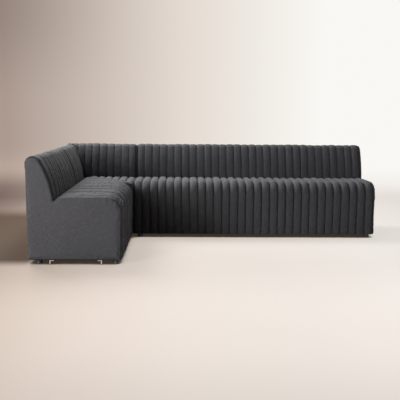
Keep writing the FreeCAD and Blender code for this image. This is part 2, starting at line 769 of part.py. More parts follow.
def corner_unit():
    """Nodes of the corner unit, with its backs along the rear and the left, mitred where they meet."""
    edge = MODULE_DEPTH - JOINT_PANEL_THICKNESS
    mitre = mitre_prism()

    def rear_half(path):
        return prism(path, 0, edge).common(mitre)

    def pair(shape):
        return [shape, mirrored(shape)]

    pitch = (edge - CREASE_DEPTH) / CORNER_CHANNEL_COUNT
    spare = math.ceil(CREASE_DEPTH / pitch)
    seat_seams = even_seams(CREASE_DEPTH, edge, CORNER_CHANNEL_COUNT)
    back_seams = [CREASE_DEPTH - pitch * k for k in range(spare, 0, -1)] + seat_seams
    rear_cover = channelled_cover(back_path(REAR_SEAM), back_seams).common(mitre)
    seat_half = channelled_cover(corner_seat_path(), seat_seams).common(mitre)
    skin = moved(corner_seat_path(), -COVER_THICKNESS - FOAM_CLEARANCE)
    foam_half = rear_half(seat_foam_path(skin) + [Segment(skin[-1].end, (MODULE_DEPTH, DECK_TOP))])

    right_panel = prism(corner_outline(JOINT_PANEL_RECESS, edge), edge, MODULE_DEPTH)
    front_panel = mirrored(prism(corner_outline(JOINT_PANEL_RECESS, MODULE_DEPTH), edge, MODULE_DEPTH))

    rear_edge = base_rail_rear()
    inner_edge = rear_edge + BASE_RAIL_WIDTH
    opposite = CORNER_INNER - BASE_RAIL_WIDTH
    base_rails = [
        box((rear_edge, CORNER_INNER), (rear_edge, inner_edge), base_rail_heights()),
        box((rear_edge, inner_edge), (inner_edge, CORNER_INNER), base_rail_heights()),
        box((inner_edge, CORNER_INNER), (opposite, CORNER_INNER), base_rail_heights()),
        box((opposite, CORNER_INNER), (inner_edge, opposite), base_rail_heights()),
    ]
    post_reach = (rear_edge, rear_edge + CORNER_POST)
    post = box(post_reach, post_reach, (FRAME_BOTTOM + RAIL_THICKNESS, RIB_TOP))
    rail_reach = (post_reach[1] - RAIL_THICKNESS, post_reach[1])
    front_rail_reach = (CORNER_INNER - RAIL_THICKNESS, CORNER_INNER)
    seat_rails = [
        box((post_reach[1], CORNER_INNER), rail_reach, seat_rail_heights()),
        box(rail_reach, (post_reach[1], CORNER_INNER), seat_rail_heights()),
        box((post_reach[1], CORNER_INNER), front_rail_reach, seat_rail_heights()),
    ]
    right_rib = prism(rib_path(edge), CORNER_INNER, edge)
    front_rib = mirrored(prism(rib_path(CORNER_INNER), CORNER_INNER, edge))

    far_foot = opposite + BASE_RAIL_WIDTH / 2
    feet = [(x, u) for x in (FOOT_REAR_INSET, far_foot) for u in (FOOT_REAR_INSET, far_foot)]
    right_screws = [place for u in hook_depths() for place in pin_screws(u)]
    screws = right_screws + [(u, x) for x, u in right_screws]
    blocks = [connector_block(CORNER_INNER - BLOCK_LENGTH, CORNER_INNER, u) for u in hook_depths()]
    blocks = [block for each in blocks for block in pair(each)]
    blocks = [block.cut(Part.makeCompound(base_rails)) for block in blocks]
    base = base_reach()[0]

    springs_at = spring_places(inner_edge, CORNER_INNER)
    spring_ends = [sum(reach) / 2 for reach in (rail_reach, front_rail_reach)]
    stud_holes = [stud_hole(*place, 0, stud_top()) for place in feet]
    nut_pockets = [upright(NUT_RADIUS + CUT_MARGIN, *place, (0, stud_top() + CUT_MARGIN)) for place in feet]
    screw_holes = [screw_hole(*place) for place in screws]
    brackets = [bracket for u in hook_depths() for bracket in pair(pin_bracket(u))]
    fasteners = [solid for place in feet for solid in foot_fasteners(*place)]

    return {
        "seat_cover": [seat_half.fuse(mirrored(seat_half))],
        "rear_back_cover": [rear_cover],
        "left_back_cover": [mirrored(rear_cover)],
        "joint_panels": [right_panel, front_panel],
        "outside_backs": pair(rear_half(outside_back_path())),
        "dust_cover": [dust_cover((base, edge), (base, edge), feet, screws)],
        "seat_foam": [foam_half.fuse(mirrored(foam_half)).removeSplitter()],
        "back_foams": pair(rear_half(back_foam_path())),
        "ribs": [right_rib, front_rib],
        "rails": drilled(base_rails, stud_holes + screw_holes) + seat_rails,
        "back_top_rails": pair(rear_half(top_rail_path())),
        "corner_post": drilled([post], nut_pockets),
        "back_boards": pair(rear_half(back_board_path())),
        "springs": [spring(x, *spring_ends) for x in springs_at],
        "spring_clips": [spring_clip(x, u, s) for x in springs_at for u, s in zip(spring_ends, (1, -1))],
        "deck_pad": [box((BACK_FOOT_DEPTH, edge), (BACK_FOOT_DEPTH, edge), (DECK_BOTTOM, DECK_TOP))],
        "connector_blocks": drilled(blocks, screw_holes),
        "feet": [foot(*place) for place in feet],
        "fasteners": fasteners + [screw(*place) for place in screws],
        "pin_brackets": brackets,
    }


def export(name, nodes, placement):
    """Writes each node of a unit in the sofa's frame."""
    for node, solids in nodes.items():
        shape = Part.makeCompound(solids) if len(solids) > 1 else solids[0]
        shape.Placement = placement.multiply(shape.Placement)
        shape.exportStep(f"parts/{name}_{node}.step")


def main():
    """Builds the three units about the middle of the floor under the whole sofa."""
    os.makedirs("parts", exist_ok=True)
    left, rear = -TOTAL_WIDTH / 2, TOTAL_DEPTH / 2
    ahead = FreeCAD.Rotation(FreeCAD.Vector(0, 0, 1), 0)
    turned = FreeCAD.Rotation(FreeCAD.Vector(0, 0, 1), 90)
    corner_at = FreeCAD.Placement(FreeCAD.Vector(left, rear, 0), ahead)
    long_at = FreeCAD.Placement(FreeCAD.Vector(left + MODULE_DEPTH + MODULE_GAP, rear, 0), ahead)
    return_at = FreeCAD.Placement(FreeCAD.Vector(left, -TOTAL_DEPTH / 2, 0), turned)
    export("corner", corner_unit(), corner_at)
    export("long", straight_unit(LONG_LENGTH, LONG_CHANNEL_COUNT, False), long_at)
    export("return", straight_unit(RETURN_LENGTH, RETURN_CHANNEL_COUNT, True), return_at)


main()
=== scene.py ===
import math
import random

import bmesh
import bpy
import numpy as np
from mathutils import Matrix, Vector, noise


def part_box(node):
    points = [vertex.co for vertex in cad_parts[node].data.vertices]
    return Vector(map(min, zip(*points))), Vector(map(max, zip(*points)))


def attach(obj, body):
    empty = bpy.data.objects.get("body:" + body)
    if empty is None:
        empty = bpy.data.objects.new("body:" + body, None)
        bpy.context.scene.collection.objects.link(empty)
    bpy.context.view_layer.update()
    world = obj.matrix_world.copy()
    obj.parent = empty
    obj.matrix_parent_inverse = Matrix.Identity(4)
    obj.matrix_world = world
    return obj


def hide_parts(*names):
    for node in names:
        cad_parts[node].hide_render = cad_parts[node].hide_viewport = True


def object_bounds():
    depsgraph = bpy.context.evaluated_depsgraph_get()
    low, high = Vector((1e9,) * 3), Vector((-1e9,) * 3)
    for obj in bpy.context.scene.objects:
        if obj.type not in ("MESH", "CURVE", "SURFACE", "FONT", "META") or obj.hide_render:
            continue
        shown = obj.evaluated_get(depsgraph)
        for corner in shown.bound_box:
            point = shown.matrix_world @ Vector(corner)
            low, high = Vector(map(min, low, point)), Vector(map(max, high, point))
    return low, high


bl_info = {
    "name": "Channelled corner sofa",
    "version": (1, 0, 0),
    "blender": (4, 5, 0),
    "location": "3D View > Sidebar > Sofa",
    "description": "Dresses a packed corner sofa in stuffed channels, plain panels and its other finishes",
    "category": "Object",
}

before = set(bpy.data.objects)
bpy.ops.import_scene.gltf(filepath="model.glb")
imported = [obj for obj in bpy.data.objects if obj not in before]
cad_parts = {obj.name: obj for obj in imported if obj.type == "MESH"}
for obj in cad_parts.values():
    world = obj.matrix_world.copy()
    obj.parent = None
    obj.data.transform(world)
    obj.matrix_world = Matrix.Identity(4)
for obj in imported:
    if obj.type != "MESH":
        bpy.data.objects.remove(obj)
CAD_LOW, CAD_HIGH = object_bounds()
SEAT_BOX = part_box("long_seat_cover")
CORNER_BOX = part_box("corner_seat_cover")
BACK_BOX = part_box("long_back_cover")
JOINT_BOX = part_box("long_joint_panel")
OUTSIDE_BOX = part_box("long_outside_back")

LONG_CHANNELS, RETURN_CHANNELS, CORNER_CHANNELS = 30, 15, 7
SEAM_CREST = 0.02  # share of a channel's height under which it counts as seam
CLOTH_FRAMES = 20
WALL_DISTANCE, COVE_RADIUS, STAGE_REACH, WALL_HEIGHT = 2.9, 0.4, 16.0, 5.0


# Softboxes: name, place, target, width and height in metres, power in watts
LAMPS = (
    ("rear left softbox", (-2.5, 1.6, 3.0), (-0.8, 0.0, 0.4), (1.6, 2.0), 312),
    ("rear softbox", (0.6, 1.8, 3.0), (0.3, 0.0, 0.3), (3.5, 1.0), 55),
    ("left softbox", (-3.7, -4.4, 1.2), (-0.8, -0.4, 0.35), (1.4, 1.2), 164),
    ("near left softbox", (-2.0, -2.2, 1.3), (-1.2, -0.9, 0.6), (0.7, 0.7), 20),
    ("right softbox", (2.6, -1.5, 1.6), (0.2, 0.2, 0.4), (1.2, 1.2), 6),
)
CAMERA_PLACE = (-0.3121, -5.7778, 1.1203)
CAMERA_PITCH, CAMERA_YAW, CAMERA_ROLL = (math.radians(angle) for angle in (7.462, -1.680, 0.515))
PHOTO_WIDTH, FOCAL_LENGTH, SENSOR_WIDTH = 400, 680.9, 36.0  # pixels, pixels, millimetres


# Sizes and finishes that a user would change
def length_property(name, description, default):
    return bpy.props.FloatProperty(
        name=name, description=description, default=default,
        min=0.0, subtype="DISTANCE", unit="LENGTH", precision=4,
    )


def angle_property(name, description, degrees):
    return bpy.props.FloatProperty(
        name=name, description=description, default=math.radians(degrees), subtype="ANGLE", unit="ROTATION"
    )


def colour_property(name, description, default):
    return bpy.props.FloatVectorProperty(
        name=name, description=description, default=default, size=3, min=0.0, max=1.0, subtype="COLOR"
    )


class SofaSizes(bpy.types.PropertyGroup):
    """Sizes of the upholstery, in the CAD model's frame."""

    seat_height: length_property("Seat height", "Top of the seat above the floor", CORNER_BOX[1].z)
    back_height: length_property("Back height", "Top of the back above the floor", BACK_BOX[1].z)
    base_height: length_property("Base height", "Bottom edge of the fabric above the floor", SEAT_BOX[0].z)
    unit_depth: length_property("Unit depth", "Depth of a straight unit", CAD_HIGH.y - SEAT_BOX[0].y)
    rear_seam: length_property("Rear seam", "Height of the seam at the rear", OUTSIDE_BOX[1].z)
    crease_depth: length_property("Crease depth", "How far the back comes forward over the seat", 0.208)
    crease_drop: length_property("Crease drop", "How far the seat falls to the crease", 0.029)
    crease_gap: length_property("Crease gap", "Gap between seat and back in the crease", 0.0008)
    nose_radius: length_property("Nose radius", "Rounding of the seat's front", 0.120)
    seat_rear_radius: length_property("Seat rear radius", "Rounding of the seat into the crease", 0.100)
    seat_crown_radius: length_property("Seat crown radius", "Crown of the seat from front to rear", 4.0)
    back_top_radius: length_property("Back top radius", "Rounding of the back's top", 0.060)
    back_face_radius: length_property("Back face radius", "Curve of the back's front face", 0.700)
    rear_lean: angle_property("Rear lean", "Lean of the rear face", 0.8)
    front_tuck: angle_property("Front tuck", "How far the front leans in towards the base", 0.6)
    pad_thickness: length_property("Pad thickness", "Thickness of a channelled pad", 0.024)
    seat_shoulder: length_property("Seat shoulder", "Rounding of a seat's channel to its seams", 0.0065)
    back_shoulder: length_property("Back shoulder", "Rounding of a back's channel to its seams", 0.0042)
    seat_sink: length_property("Seat sink", "How far a seat's channels fall towards their seams", 0.009)
    back_sink: length_property("Back sink", "How far a back's channels fall towards their seams", 0.004)
    channel_crown: angle_property("Channel crown", "Slope of a channel's crown at its shoulders", 9.0)
    stitch_gap: length_property("Stitch gap", "Gap between channels at a seam", 0.0006)
    seat_swell: length_property("Seat swell", "How far stuffing may push a seat's fabric out", 0.0022)
    back_swell: length_property("Back swell", "How far stuffing may push a back's fabric out", 0.0010)
    # Painted shade: the fabric's colour darkens towards the crease over this distance.
    crease_shade: length_property("Crease shade", "How far the fabric darkens out of the crease", 0.050)
    row_length: length_property("Row length", "Length of the mesh's rows along a channel", 0.0075)
    slack: length_property("Slack", "Unevenness of the stuffing along and across the channels", 0.0022)
    seam_wander: length_property("Seam wander", "How far a sewn seam strays from even spacing", 0.0024)
    end_panel_round: length_property("End panel round", "Rounding of an end panel's border", 0.011)
    return_sag: length_property("Return sag", "How much lower the backs along the return have settled", 0.011)
    end_sag: length_property("End sag", "How much further the return's end panel has settled", 0.008)
    channel_variety: length_property("Channel variety", "How much fuller a channel is than the next", 0.0016)
    joint_round: length_property("Joint round", "How far along a back rounds off into a joint", 0.040)
    joint_fall: length_property("Joint fall", "How deep a back rounds off into a joint", 0.014)
    mitre_round: length_property("Mitre round", "How far a channel rounds off into the corner's mitre", 0.016)
    seat_mitre_fall: length_property("Seat mitre fall", "How deep a seat falls into the mitre", 0.011)
    back_mitre_fall: length_property("Back mitre fall", "How deep a back falls into the mitre", 0.007)
    open_corner: length_property("Open corner", "Reach of the corner seat's drawn-down corner", 0.12)
    open_corner_fall: length_property("Open corner fall", "How deep that corner is drawn down", 0.008)
    end_panel_inset: length_property("End panel inset", "How far an end panel is inside the profile", 0.0035)
    panel_slack: length_property("Panel slack", "Room on each side of a closing panel", 0.0008)
    thread_pitch: length_property("Thread pitch", "Spacing of the fabric's threads", 0.0011)


class SofaFinishes(bpy.types.PropertyGroup):
    """Colours of the sofa's finishes and of the stage."""

    yarn_dark: colour_property("Dark yarn", "Darker yarn of the fabric", (0.0368, 0.0358, 0.0395))
    yarn_light: colour_property("Light yarn", "Lighter yarn of the fabric", (0.0895, 0.0880, 0.0945))
    lining: colour_property("Lining", "Non-woven cloth under the base", (0.012, 0.012, 0.013))
    foam: colour_property("Foam", "Foam inside the upholstery", (0.78, 0.72, 0.55))
    felt: colour_property("Felt", "Felt over the springs", (0.32, 0.31, 0.30))
    plywood: colour_property("Plywood", "Plywood of the ribs and boards", (0.62, 0.46, 0.29))
    timber: colour_property("Timber", "Softwood of the rails and blocks", (0.66, 0.50, 0.32))
    spring_steel: colour_property("Spring steel", "Drawn wire of the springs", (0.33, 0.33, 0.34))
    zinc: colour_property("Zinc", "Zinc plate of the hooks, pins and screws", (0.78, 0.78, 0.80))
    plastic: colour_property("Plastic", "Moulded plastic of the feet", (0.006, 0.006, 0.0065))
    # The stage's colours carry painted light and shade: floor and wall in painted shade on the left and
    # brighter on the right, a painted shadow beside the return and painted contact shadows under the bases.
    floor_bright: colour_property("Bright floor", "Studio floor on the right", (0.87, 0.82, 0.77))
    floor_middle: colour_property("Middle floor", "Studio floor before the sofa", (0.765, 0.69, 0.63))
    floor_shaded: colour_property("Shaded floor", "Studio floor on the left", (0.58, 0.47, 0.395))
    floor_dim: colour_property("Dim floor", "Studio floor far on the left", (0.31, 0.225, 0.19))
    contact_shadow: colour_property("Contact shadow", "Floor close under the bases", (0.055, 0.040, 0.026))
    floor_shadow: colour_property("Floor shadow", "Warm shade beside the return", (0.078, 0.049, 0.031))
    wall_bright: colour_property("Bright wall", "Backdrop on the right", (0.947, 0.935, 0.90))
    wall_middle: colour_property("Middle wall", "Backdrop behind the sofa", (0.775, 0.70, 0.64))
    wall_shaded: colour_property("Shaded wall", "Backdrop on the left", (0.41, 0.32, 0.275))


# Profiles of seat and back: points are (depth from the rear, height)
class Run:
    """A straight run of a profile, or a convex arc where it has a centre."""

    def __init__(self, start, end, centre=None):
        self.start = Vector(start)
        self.end = Vector(end)
        self.centre = Vector(centre) if centre is not None else None

    def normal(self, point):
        """Unit vector out of the upholstery at a point of the run."""
        if self.centre is not None:
            return (point - self.centre).normalized()
        ahead = self.end - self.start
        return Vector((-ahead.y, ahead.x)).normalized()

    @property
    def turn(self):
        return (self.start - self.centre).angle(self.end - self.centre)

    @property
    def length(self):
        if self.centre is not None:
            return self.turn * (self.start - self.centre).length
        return (self.end - self.start).length

    def point(self, share):
        """The point at a share of the run."""
        if self.centre is not None:
            return self.centre + Matrix.Rotation(-self.turn * share, 2) @ (self.start - self.centre)
        return self.start.lerp(self.end, share)

    def moved(self, distance):
        """The run moved out of the upholstery by a distance, or in where it is negative."""
        start = self.start + distance * self.normal(self.start)
        end = self.end + distance * self.normal(self.end)
        return Run(start, end, self.centre)


def inner_hub(first, first_radius, second, second_radius, radius):
    """Centre of the large arc that touches two smaller circles, on their inner side."""
    a, b = radius - first_radius, radius - second_radius
    apart = second - first
    along = (a * a - b * b + apart.length_squared) / (2 * apart.length)
    aside = math.sqrt(a * a - along * along)
    ahead = apart.normalized()
    return first + along * ahead + aside * Vector((ahead.y, -ahead.x))


def touch(large, small, radius):
    """Where a large arc about one centre touches the small circle about another."""
    return small + radius * (small - large).normalized()


def rear_run(sizes, low):
    """Straight rear of the back, up to where its top begins to round."""
    hub = Vector((sizes.back_top_radius, sizes.back_height - sizes.back_top_radius))
    lean = sizes.rear_lean
    top = hub - sizes.back_top_radius * Vector((math.cos(lean), math.sin(lean)))
    return Run((top.x + (top.y - low) * math.tan(lean), low), top), hub


def back_profile(sizes, low):
    """Up the rear, over the rounded top and down the front of the back to the crease."""
    rear, hub = rear_run(sizes, low)
    crease = Vector((sizes.crease_depth - sizes.crease_gap / 2, sizes.seat_height - sizes.crease_drop))
    hollow = inner_hub(hub, sizes.back_top_radius, crease, 0, sizes.back_face_radius)
    brow = touch(hollow, hub, sizes.back_top_radius)
    return [rear, Run(rear.end, brow, hub), Run(brow, crease, hollow)]


def crease_start(sizes):
    """Start of the seat in the crease, and the centre of the arc that rises from it."""
    start = Vector((sizes.crease_depth + sizes.crease_gap / 2, sizes.seat_height - sizes.crease_drop))
    rise = sizes.seat_rear_radius - sizes.crease_drop
    run = math.sqrt(sizes.seat_rear_radius**2 - rise**2)
    return start, Vector((start.x + run, sizes.seat_height - sizes.seat_rear_radius))


def seat_profile(sizes, low):
    """From the crease over the crowned seat, round its nose and down the front."""
    start, hub = crease_start(sizes)
    nose = Vector((sizes.unit_depth - sizes.nose_radius, sizes.seat_height - sizes.nose_radius))
    crown = inner_hub(hub, sizes.seat_rear_radius, nose, sizes.nose_radius, sizes.seat_crown_radius)
    crown_rear = touch(crown, hub, sizes.seat_rear_radius)
    crown_front = touch(crown, nose, sizes.nose_radius)
    tuck = sizes.front_tuck
    chin = nose + sizes.nose_radius * Vector((math.cos(tuck), -math.sin(tuck)))
    foot = Vector((chin.x - (chin.y - low) * math.tan(tuck), low))
    arcs = [Run(start, crown_rear, hub), Run(crown_rear, crown_front, crown), Run(crown_front, chin, nose)]
    return arcs + [Run(chin, foot)]


def corner_seat_profile(sizes, edge):
    """From the crease over the flat seat of the corner unit to its open edge."""
    start, hub = crease_start(sizes)
    flat = Vector((hub.x, sizes.seat_height))
    return [Run(start, flat, hub), Run(flat, (edge, sizes.seat_height))]


def end_outline(sizes, inset):
    """Closed outline of a straight unit's end, inside the upholstery by an inset but for its bottom edge."""
    back = [run.moved(-inset) for run in back_profile(sizes, sizes.base_height)]
    seat = [run.moved(-inset) for run in seat_profile(sizes, sizes.base_height)]
    return back + [Run(back[-1].end, seat[0].start)] + seat


def corner_outline(sizes, inset, edge):
    """The same for the corner unit, whose seat runs flat to its open edge."""
    back = [run.moved(-inset) for run in back_profile(sizes, sizes.base_height)]
    seat = [run.moved(-inset) for run in corner_seat_profile(sizes, edge)]
    front = Run(seat[-1].end, (edge, sizes.base_height))
    return back + [Run(back[-1].end, seat[0].start)] + seat + [front]


# Units: each is modelled in its own frame, with its rear at y 0 and its front towards minus y
class Unit:
    """One of the three units: its CAD body and its place on the floor."""

    def __init__(self, name, place):
        self.name = name
        self.body = name + "_module"
        self.place = place

    def node(self, piece):
        return f"{self.name}_{piece}"

    def reach(self, piece):
        """Lowest and highest corner of one of the unit's CAD nodes, in the unit's own frame."""
        back = self.place.inverted()
        low, high = (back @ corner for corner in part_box(self.node(piece)))
        return Vector(map(min, low, high)), Vector(map(max, low, high))


CORNER = Unit("corner", Matrix.Translation((CAD_LOW.x, CAD_HIGH.y, 0)))
LONG = Unit("long", Matrix.Translation((JOINT_BOX[0].x, CAD_HIGH.y, 0)))
RETURN = Unit("return", Matrix.Translation((CAD_LOW.x, CAD_LOW.y, 0)) @ Matrix.Rotation(math.pi / 2, 4, "Z"))
STRAIGHT_UNITS = (LONG, RETURN)
ALL_UNITS = (CORNER, LONG, RETURN)
CORNER_EDGE = CORNER.reach("seat_cover")[1].x
ACROSS_DIAGONAL = Matrix(((0, -1, 0, 0), (-1, 0, 0, 0), (0, 0, 1, 0), (0, 0, 0, 1)))


def into_mesh(name, bm):
    """A mesh from a bmesh, which is freed."""
    mesh = bpy.data.meshes.new(name)
    bm.to_mesh(mesh)
    bm.free()
    return mesh


def linked(name, data):
    """A new object in the scene."""
    made = bpy.data.objects.new(name, data)
    bpy.context.scene.collection.objects.link(made)
    return made


def at(x, point):
    """A profile point at x along a unit, in the unit's own frame."""
    return Vector((x, -point.x, point.y))


def verts_of(geometry):
    return [part for part in geometry if isinstance(part, bmesh.types.BMVert)]


def edges_of(geometry):
    return [part for part in geometry if isinstance(part, bmesh.types.BMEdge)]


def step_along(bm, ring, run, share):
    """Carries a section or a point along a share of a run and gives back where it got to."""
    if run.centre is not None:
        made = bmesh.ops.spin(
            bm, geom=ring, cent=at(0, run.centre), axis=(1, 0, 0), angle=run.turn * share,
            steps=1, use_duplicate=False,
        )
        return made["geom_last"]
    if edges_of(ring):
        made = bmesh.ops.extrude_edge_only(bm, edges=edges_of(ring))["geom"]
        moved = [part for part in made if not isinstance(part, bmesh.types.BMFace)]
    else:
        moved = bmesh.ops.extrude_vert_indiv(bm, verts=verts_of(ring))["verts"]
    bmesh.ops.translate(bm, verts=verts_of(moved), vec=at(0, (run.end - run.start) * share))
    return moved


def sweep(bm, ring, profile, row):
    """Carries a section along a whole profile in rows, and notes how far along each row is."""
    along = bm.verts.layers.float["along"]
    out = bm.verts.layers.float_vector["out"]
    done = 0.0
    for run in profile:
        rows = max(1, round(run.length / row))
        for k in range(rows):
            ring = step_along(bm, ring, run, 1 / rows)
            done += run.length / rows
            normal = run.normal(run.point((k + 1) / rows))
            for vert in verts_of(ring):
                vert[along] = done
                vert[out] = at(0, normal)
    return ring


def trace(bm, profile, row):
    """Draws a closed outline through a profile in the plane x 0 and fills it with one face."""
    first = point = [bm.verts.new(at(0, profile[0].start))]
    for run in profile:
        steps = max(1, round(run.length / row)) if run.centre is not None else 1
        for _ in range(steps):
            point = verts_of(step_along(bm, point, run, 1 / steps))
    bmesh.ops.contextual_create(bm, geom=[point[0], first[0]])
    return bmesh.ops.edgeloop_fill(bm, edges=bm.edges[:])["faces"]


# Stuffed channels
class Channel:
    """A kind of channel: its profile, its shoulders' rounding and how far it falls to its seams."""

    def __init__(self, profile, crease, shoulder, sinks, swell):
        self.profile = profile
        self.crease = crease
        self.shoulder = shoulder
        self.sinks = sinks
        self.swell = swell

    def sink(self, along):
        """Fall towards the seams at a distance along the profile, between the values at its joints."""
        joints = np.cumsum([0.0] + [run.length for run in self.profile])
        return float(np.interp(along, joints, self.sinks))

    def from_crease(self, along):
        """Distance from the crease, which is at one end of the profile."""
        return along if self.crease == "start" else sum(run.length for run in self.profile) - along


def seat_channel(sizes):
    """Full and round on the seat and its nose, flatter down the front."""
    sinks = [sizes.seat_sink * share for share in (0.15, 1.0, 1.2, 0.5, 0.12)]
    profile = seat_profile(sizes, sizes.base_height)
    return Channel(profile, "start", sizes.seat_shoulder, sinks, sizes.seat_swell)


def corner_seat_channel(sizes, edge):
    sinks = [sizes.seat_sink * share for share in (0.15, 1.0, 1.0)]
    profile = corner_seat_profile(sizes, edge)
    return Channel(profile, "start", sizes.seat_shoulder, sinks, sizes.seat_swell)


def back_channel(sizes):
    """Drawn tight over the top of the back, rounder down its face."""
    sinks = [sizes.back_sink * share for share in (0.3, 0.1, 0.25, 0.6)]
    profile = back_profile(sizes, sizes.rear_seam)
    return Channel(profile, "end", sizes.back_shoulder, sinks, sizes.back_swell)


def channel_half(sizes, width):
    """Half the width of a channel between its seams."""
    return (width - sizes.stitch_gap) / 2


def channel_rise(channel, width, sizes):
    """Height of a channel's crest over its seams."""
    inner, slope = channel_half(sizes, width) - channel.shoulder, sizes.channel_crown
    return channel.shoulder + inner / math.sin(slope) - inner / math.tan(slope)


def channel_section(bm, channel, width, sizes):
    """Section of one channel, round-shouldered on its flat backing, at the start of its profile."""
    crest = bm.verts.layers.float.new("crest")
    pull = bm.verts.layers.float.new("pull")
    out = bm.verts.layers.float_vector.new("out")
    first_run = channel.profile[0]
    half, shoulder, slope = channel_half(sizes, width), channel.shoulder, sizes.channel_crown
    rise = channel_rise(channel, width, sizes)
    inner = half - shoulder
    seam = bm.verts.new((half, 0, 0))
    point = [seam]
    arcs = (
        ((inner, 0, 0), math.pi / 2 - slope, 4),
        ((0, 0, -inner / math.tan(slope)), 2 * slope, 6),
        ((-inner, 0, 0), math.pi / 2 - slope, 4),
    )
    for centre, turn, steps in arcs:
        made = bmesh.ops.spin(
            bm, geom=point, cent=centre, axis=(0, -1, 0), angle=turn, steps=steps, use_duplicate=False
        )
        point = verts_of(made["geom_last"])
    for vert in bm.verts:
        vert[crest] = max(0.0, vert.co.z / rise)
        vert[pull] = abs(vert.co.x / half) ** 3
    under = bmesh.ops.extrude_vert_indiv(bm, verts=point)["verts"]
    bmesh.ops.translate(bm, verts=under, vec=(0, 0, rise - sizes.pad_thickness))
    other = bmesh.ops.extrude_vert_indiv(bm, verts=under)["verts"]
    bmesh.ops.translate(bm, verts=other, vec=(2 * half, 0, 0))
    bmesh.ops.contextual_create(bm, geom=[other[0], seam])
    normal = first_run.normal(first_run.start)
    upright = Matrix(((1, 0, 0), (0, -normal.y, -normal.x), (0, -normal.x, normal.y))).to_4x4()
    home = at(0, first_run.start - normal * rise)
    bmesh.ops.transform(bm, matrix=Matrix.Translation(home) @ upright, verts=bm.verts[:])
    for vert in under + other:
        vert[pull] = 0.0
    for vert in bm.verts:
        vert[out] = at(0, normal)
    return bm.verts[:] + bm.edges[:]


def channel_strip(channel, width, sizes, row):
    """Mesh of one stuffed channel along its profile, about x 0, with its weave laid along it."""
    bm = bmesh.new()
    along = bm.verts.layers.float.new("along")
    ring = channel_section(bm, channel, width, sizes)
    first_edges = edges_of(ring)
    last = sweep(bm, ring, channel.profile, row)
    crest, pull = bm.verts.layers.float["crest"], bm.verts.layers.float["pull"]
    out = bm.verts.layers.float_vector["out"]
    for vert in bm.verts:
        vert.co -= vert[out] * (vert[pull] * channel.sink(vert[along]))
        # Painted shade: the crest share, which darkens the fabric's colour, falls towards the crease.
        vert[crest] *= min(1.0, max(0.0, channel.from_crease(vert[along])) / sizes.crease_shade) ** 0.6
    caps = bmesh.ops.edgeloop_fill(bm, edges=first_edges)["faces"]
    caps += bmesh.ops.edgeloop_fill(bm, edges=edges_of(last))["faces"]
    bmesh.ops.recalc_face_normals(bm, faces=bm.faces[:])
    weave = bm.loops.layers.uv.new("weave")
    for face in bm.faces:
        face.smooth = True
        for loop in face.loops:
            loop[weave].uv = (loop.vert.co.x, loop.vert[along])
    for face in caps:
        for edge in face.edges:
            edge.smooth = False
    return into_mesh("channel strip", bm)


def values_of(mesh, name):
    """A float attribute of a mesh as an array."""
    found = np.zeros(len(mesh.vertices), np.float32)
    mesh.attributes[name].data.foreach_get("value", found)
    return found


def points_of(mesh):
    found = np.zeros(len(mesh.vertices) * 3, np.float32)
    mesh.vertices.foreach_get("co", found)
    return found.reshape(-1, 3)


def swell(mesh, held, pressure, growth, cap):
    """Stuffs a mesh: cloth under pressure, still where it is held, moved by no more than a cap."""
    scene = bpy.context.scene
    rest = points_of(mesh)
    stuffed = linked("stuffing", mesh)
    group = stuffed.vertex_groups.new(name="held")
    group.add([int(k) for k in np.flatnonzero(held)], 1.0, "REPLACE")
    cloth = stuffed.modifiers.new("Cloth", "CLOTH")
    cloth.settings.vertex_group_mass = group.name
    cloth.settings.quality = 6
    cloth.settings.mass = 0.25
    cloth.settings.tension_stiffness = 18
    cloth.settings.compression_stiffness = 18
    cloth.settings.shear_stiffness = 6
    cloth.settings.bending_stiffness = 0.4
    cloth.settings.use_pressure = True
    cloth.settings.uniform_pressure_force = pressure
    cloth.settings.shrink_min = -growth
    cloth.settings.effector_weights.gravity = 0
    cloth.collision_settings.use_collision = False
    cloth.point_cache.frame_start = 1
    cloth.point_cache.frame_end = CLOTH_FRAMES
    for number in range(1, CLOTH_FRAMES + 1):
        scene.frame_set(number)
    settled = stuffed.evaluated_get(bpy.context.evaluated_depsgraph_get())
    moved = points_of(settled.data) - rest
    distance = np.linalg.norm(moved, axis=1, keepdims=True)
    moved *= np.minimum(1.0, cap / np.maximum(distance, 1e-9))
    bpy.data.objects.remove(stuffed)
    scene.frame_set(1)
    mesh.vertices.foreach_set("co", (rest + moved).astype(np.float32).ravel())
    mesh.update()
    return mesh


def stuffed_strips(channel, width, sizes, row, seed, count=4):
    """A few channels of the same kind, each stuffed a little differently."""
    strips = []
    for k in range(count):
        chance = random.Random(seed + k)
        strip = channel_strip(channel, width, sizes, row)
        crest, along = values_of(strip, "crest"), values_of(strip, "along")
        held = (crest < SEAM_CREST) | (along < row / 2) | (along > along.max() - row / 2)
        ruffle(strip, crest, chance)
        swell(strip, held, chance.uniform(3.0, 4.5), chance.uniform(0.015, 0.04), channel.swell)
        points = points_of(strip)
        limit = channel_half(sizes, width)
        points[:, 0] = np.clip(points[:, 0], -limit, limit)
        strip.vertices.foreach_set("co", points.ravel())
        strips.append(strip)
    return strips


def ruffle(strip, crest, chance):
    """Small unevenness of the filling, so that the fabric settles in its own way."""
    shift = Vector((chance.uniform(0, 9), chance.uniform(0, 9), chance.uniform(0, 9)))
    for vert, height in zip(strip.vertices, crest):
        if height > SEAM_CREST:
            vert.co += vert.normal * (0.0009 * noise.noise(vert.co * 55 + shift))


def even_seams(low, high, count, wander, chance):
    """Seams between two ends: evenly spaced, but for a little wander."""
    seams = [low + (high - low) * k / count for k in range(count + 1)]
    for k in range(1, count):
        seams[k] += chance.uniform(-wander, wander)
    return seams


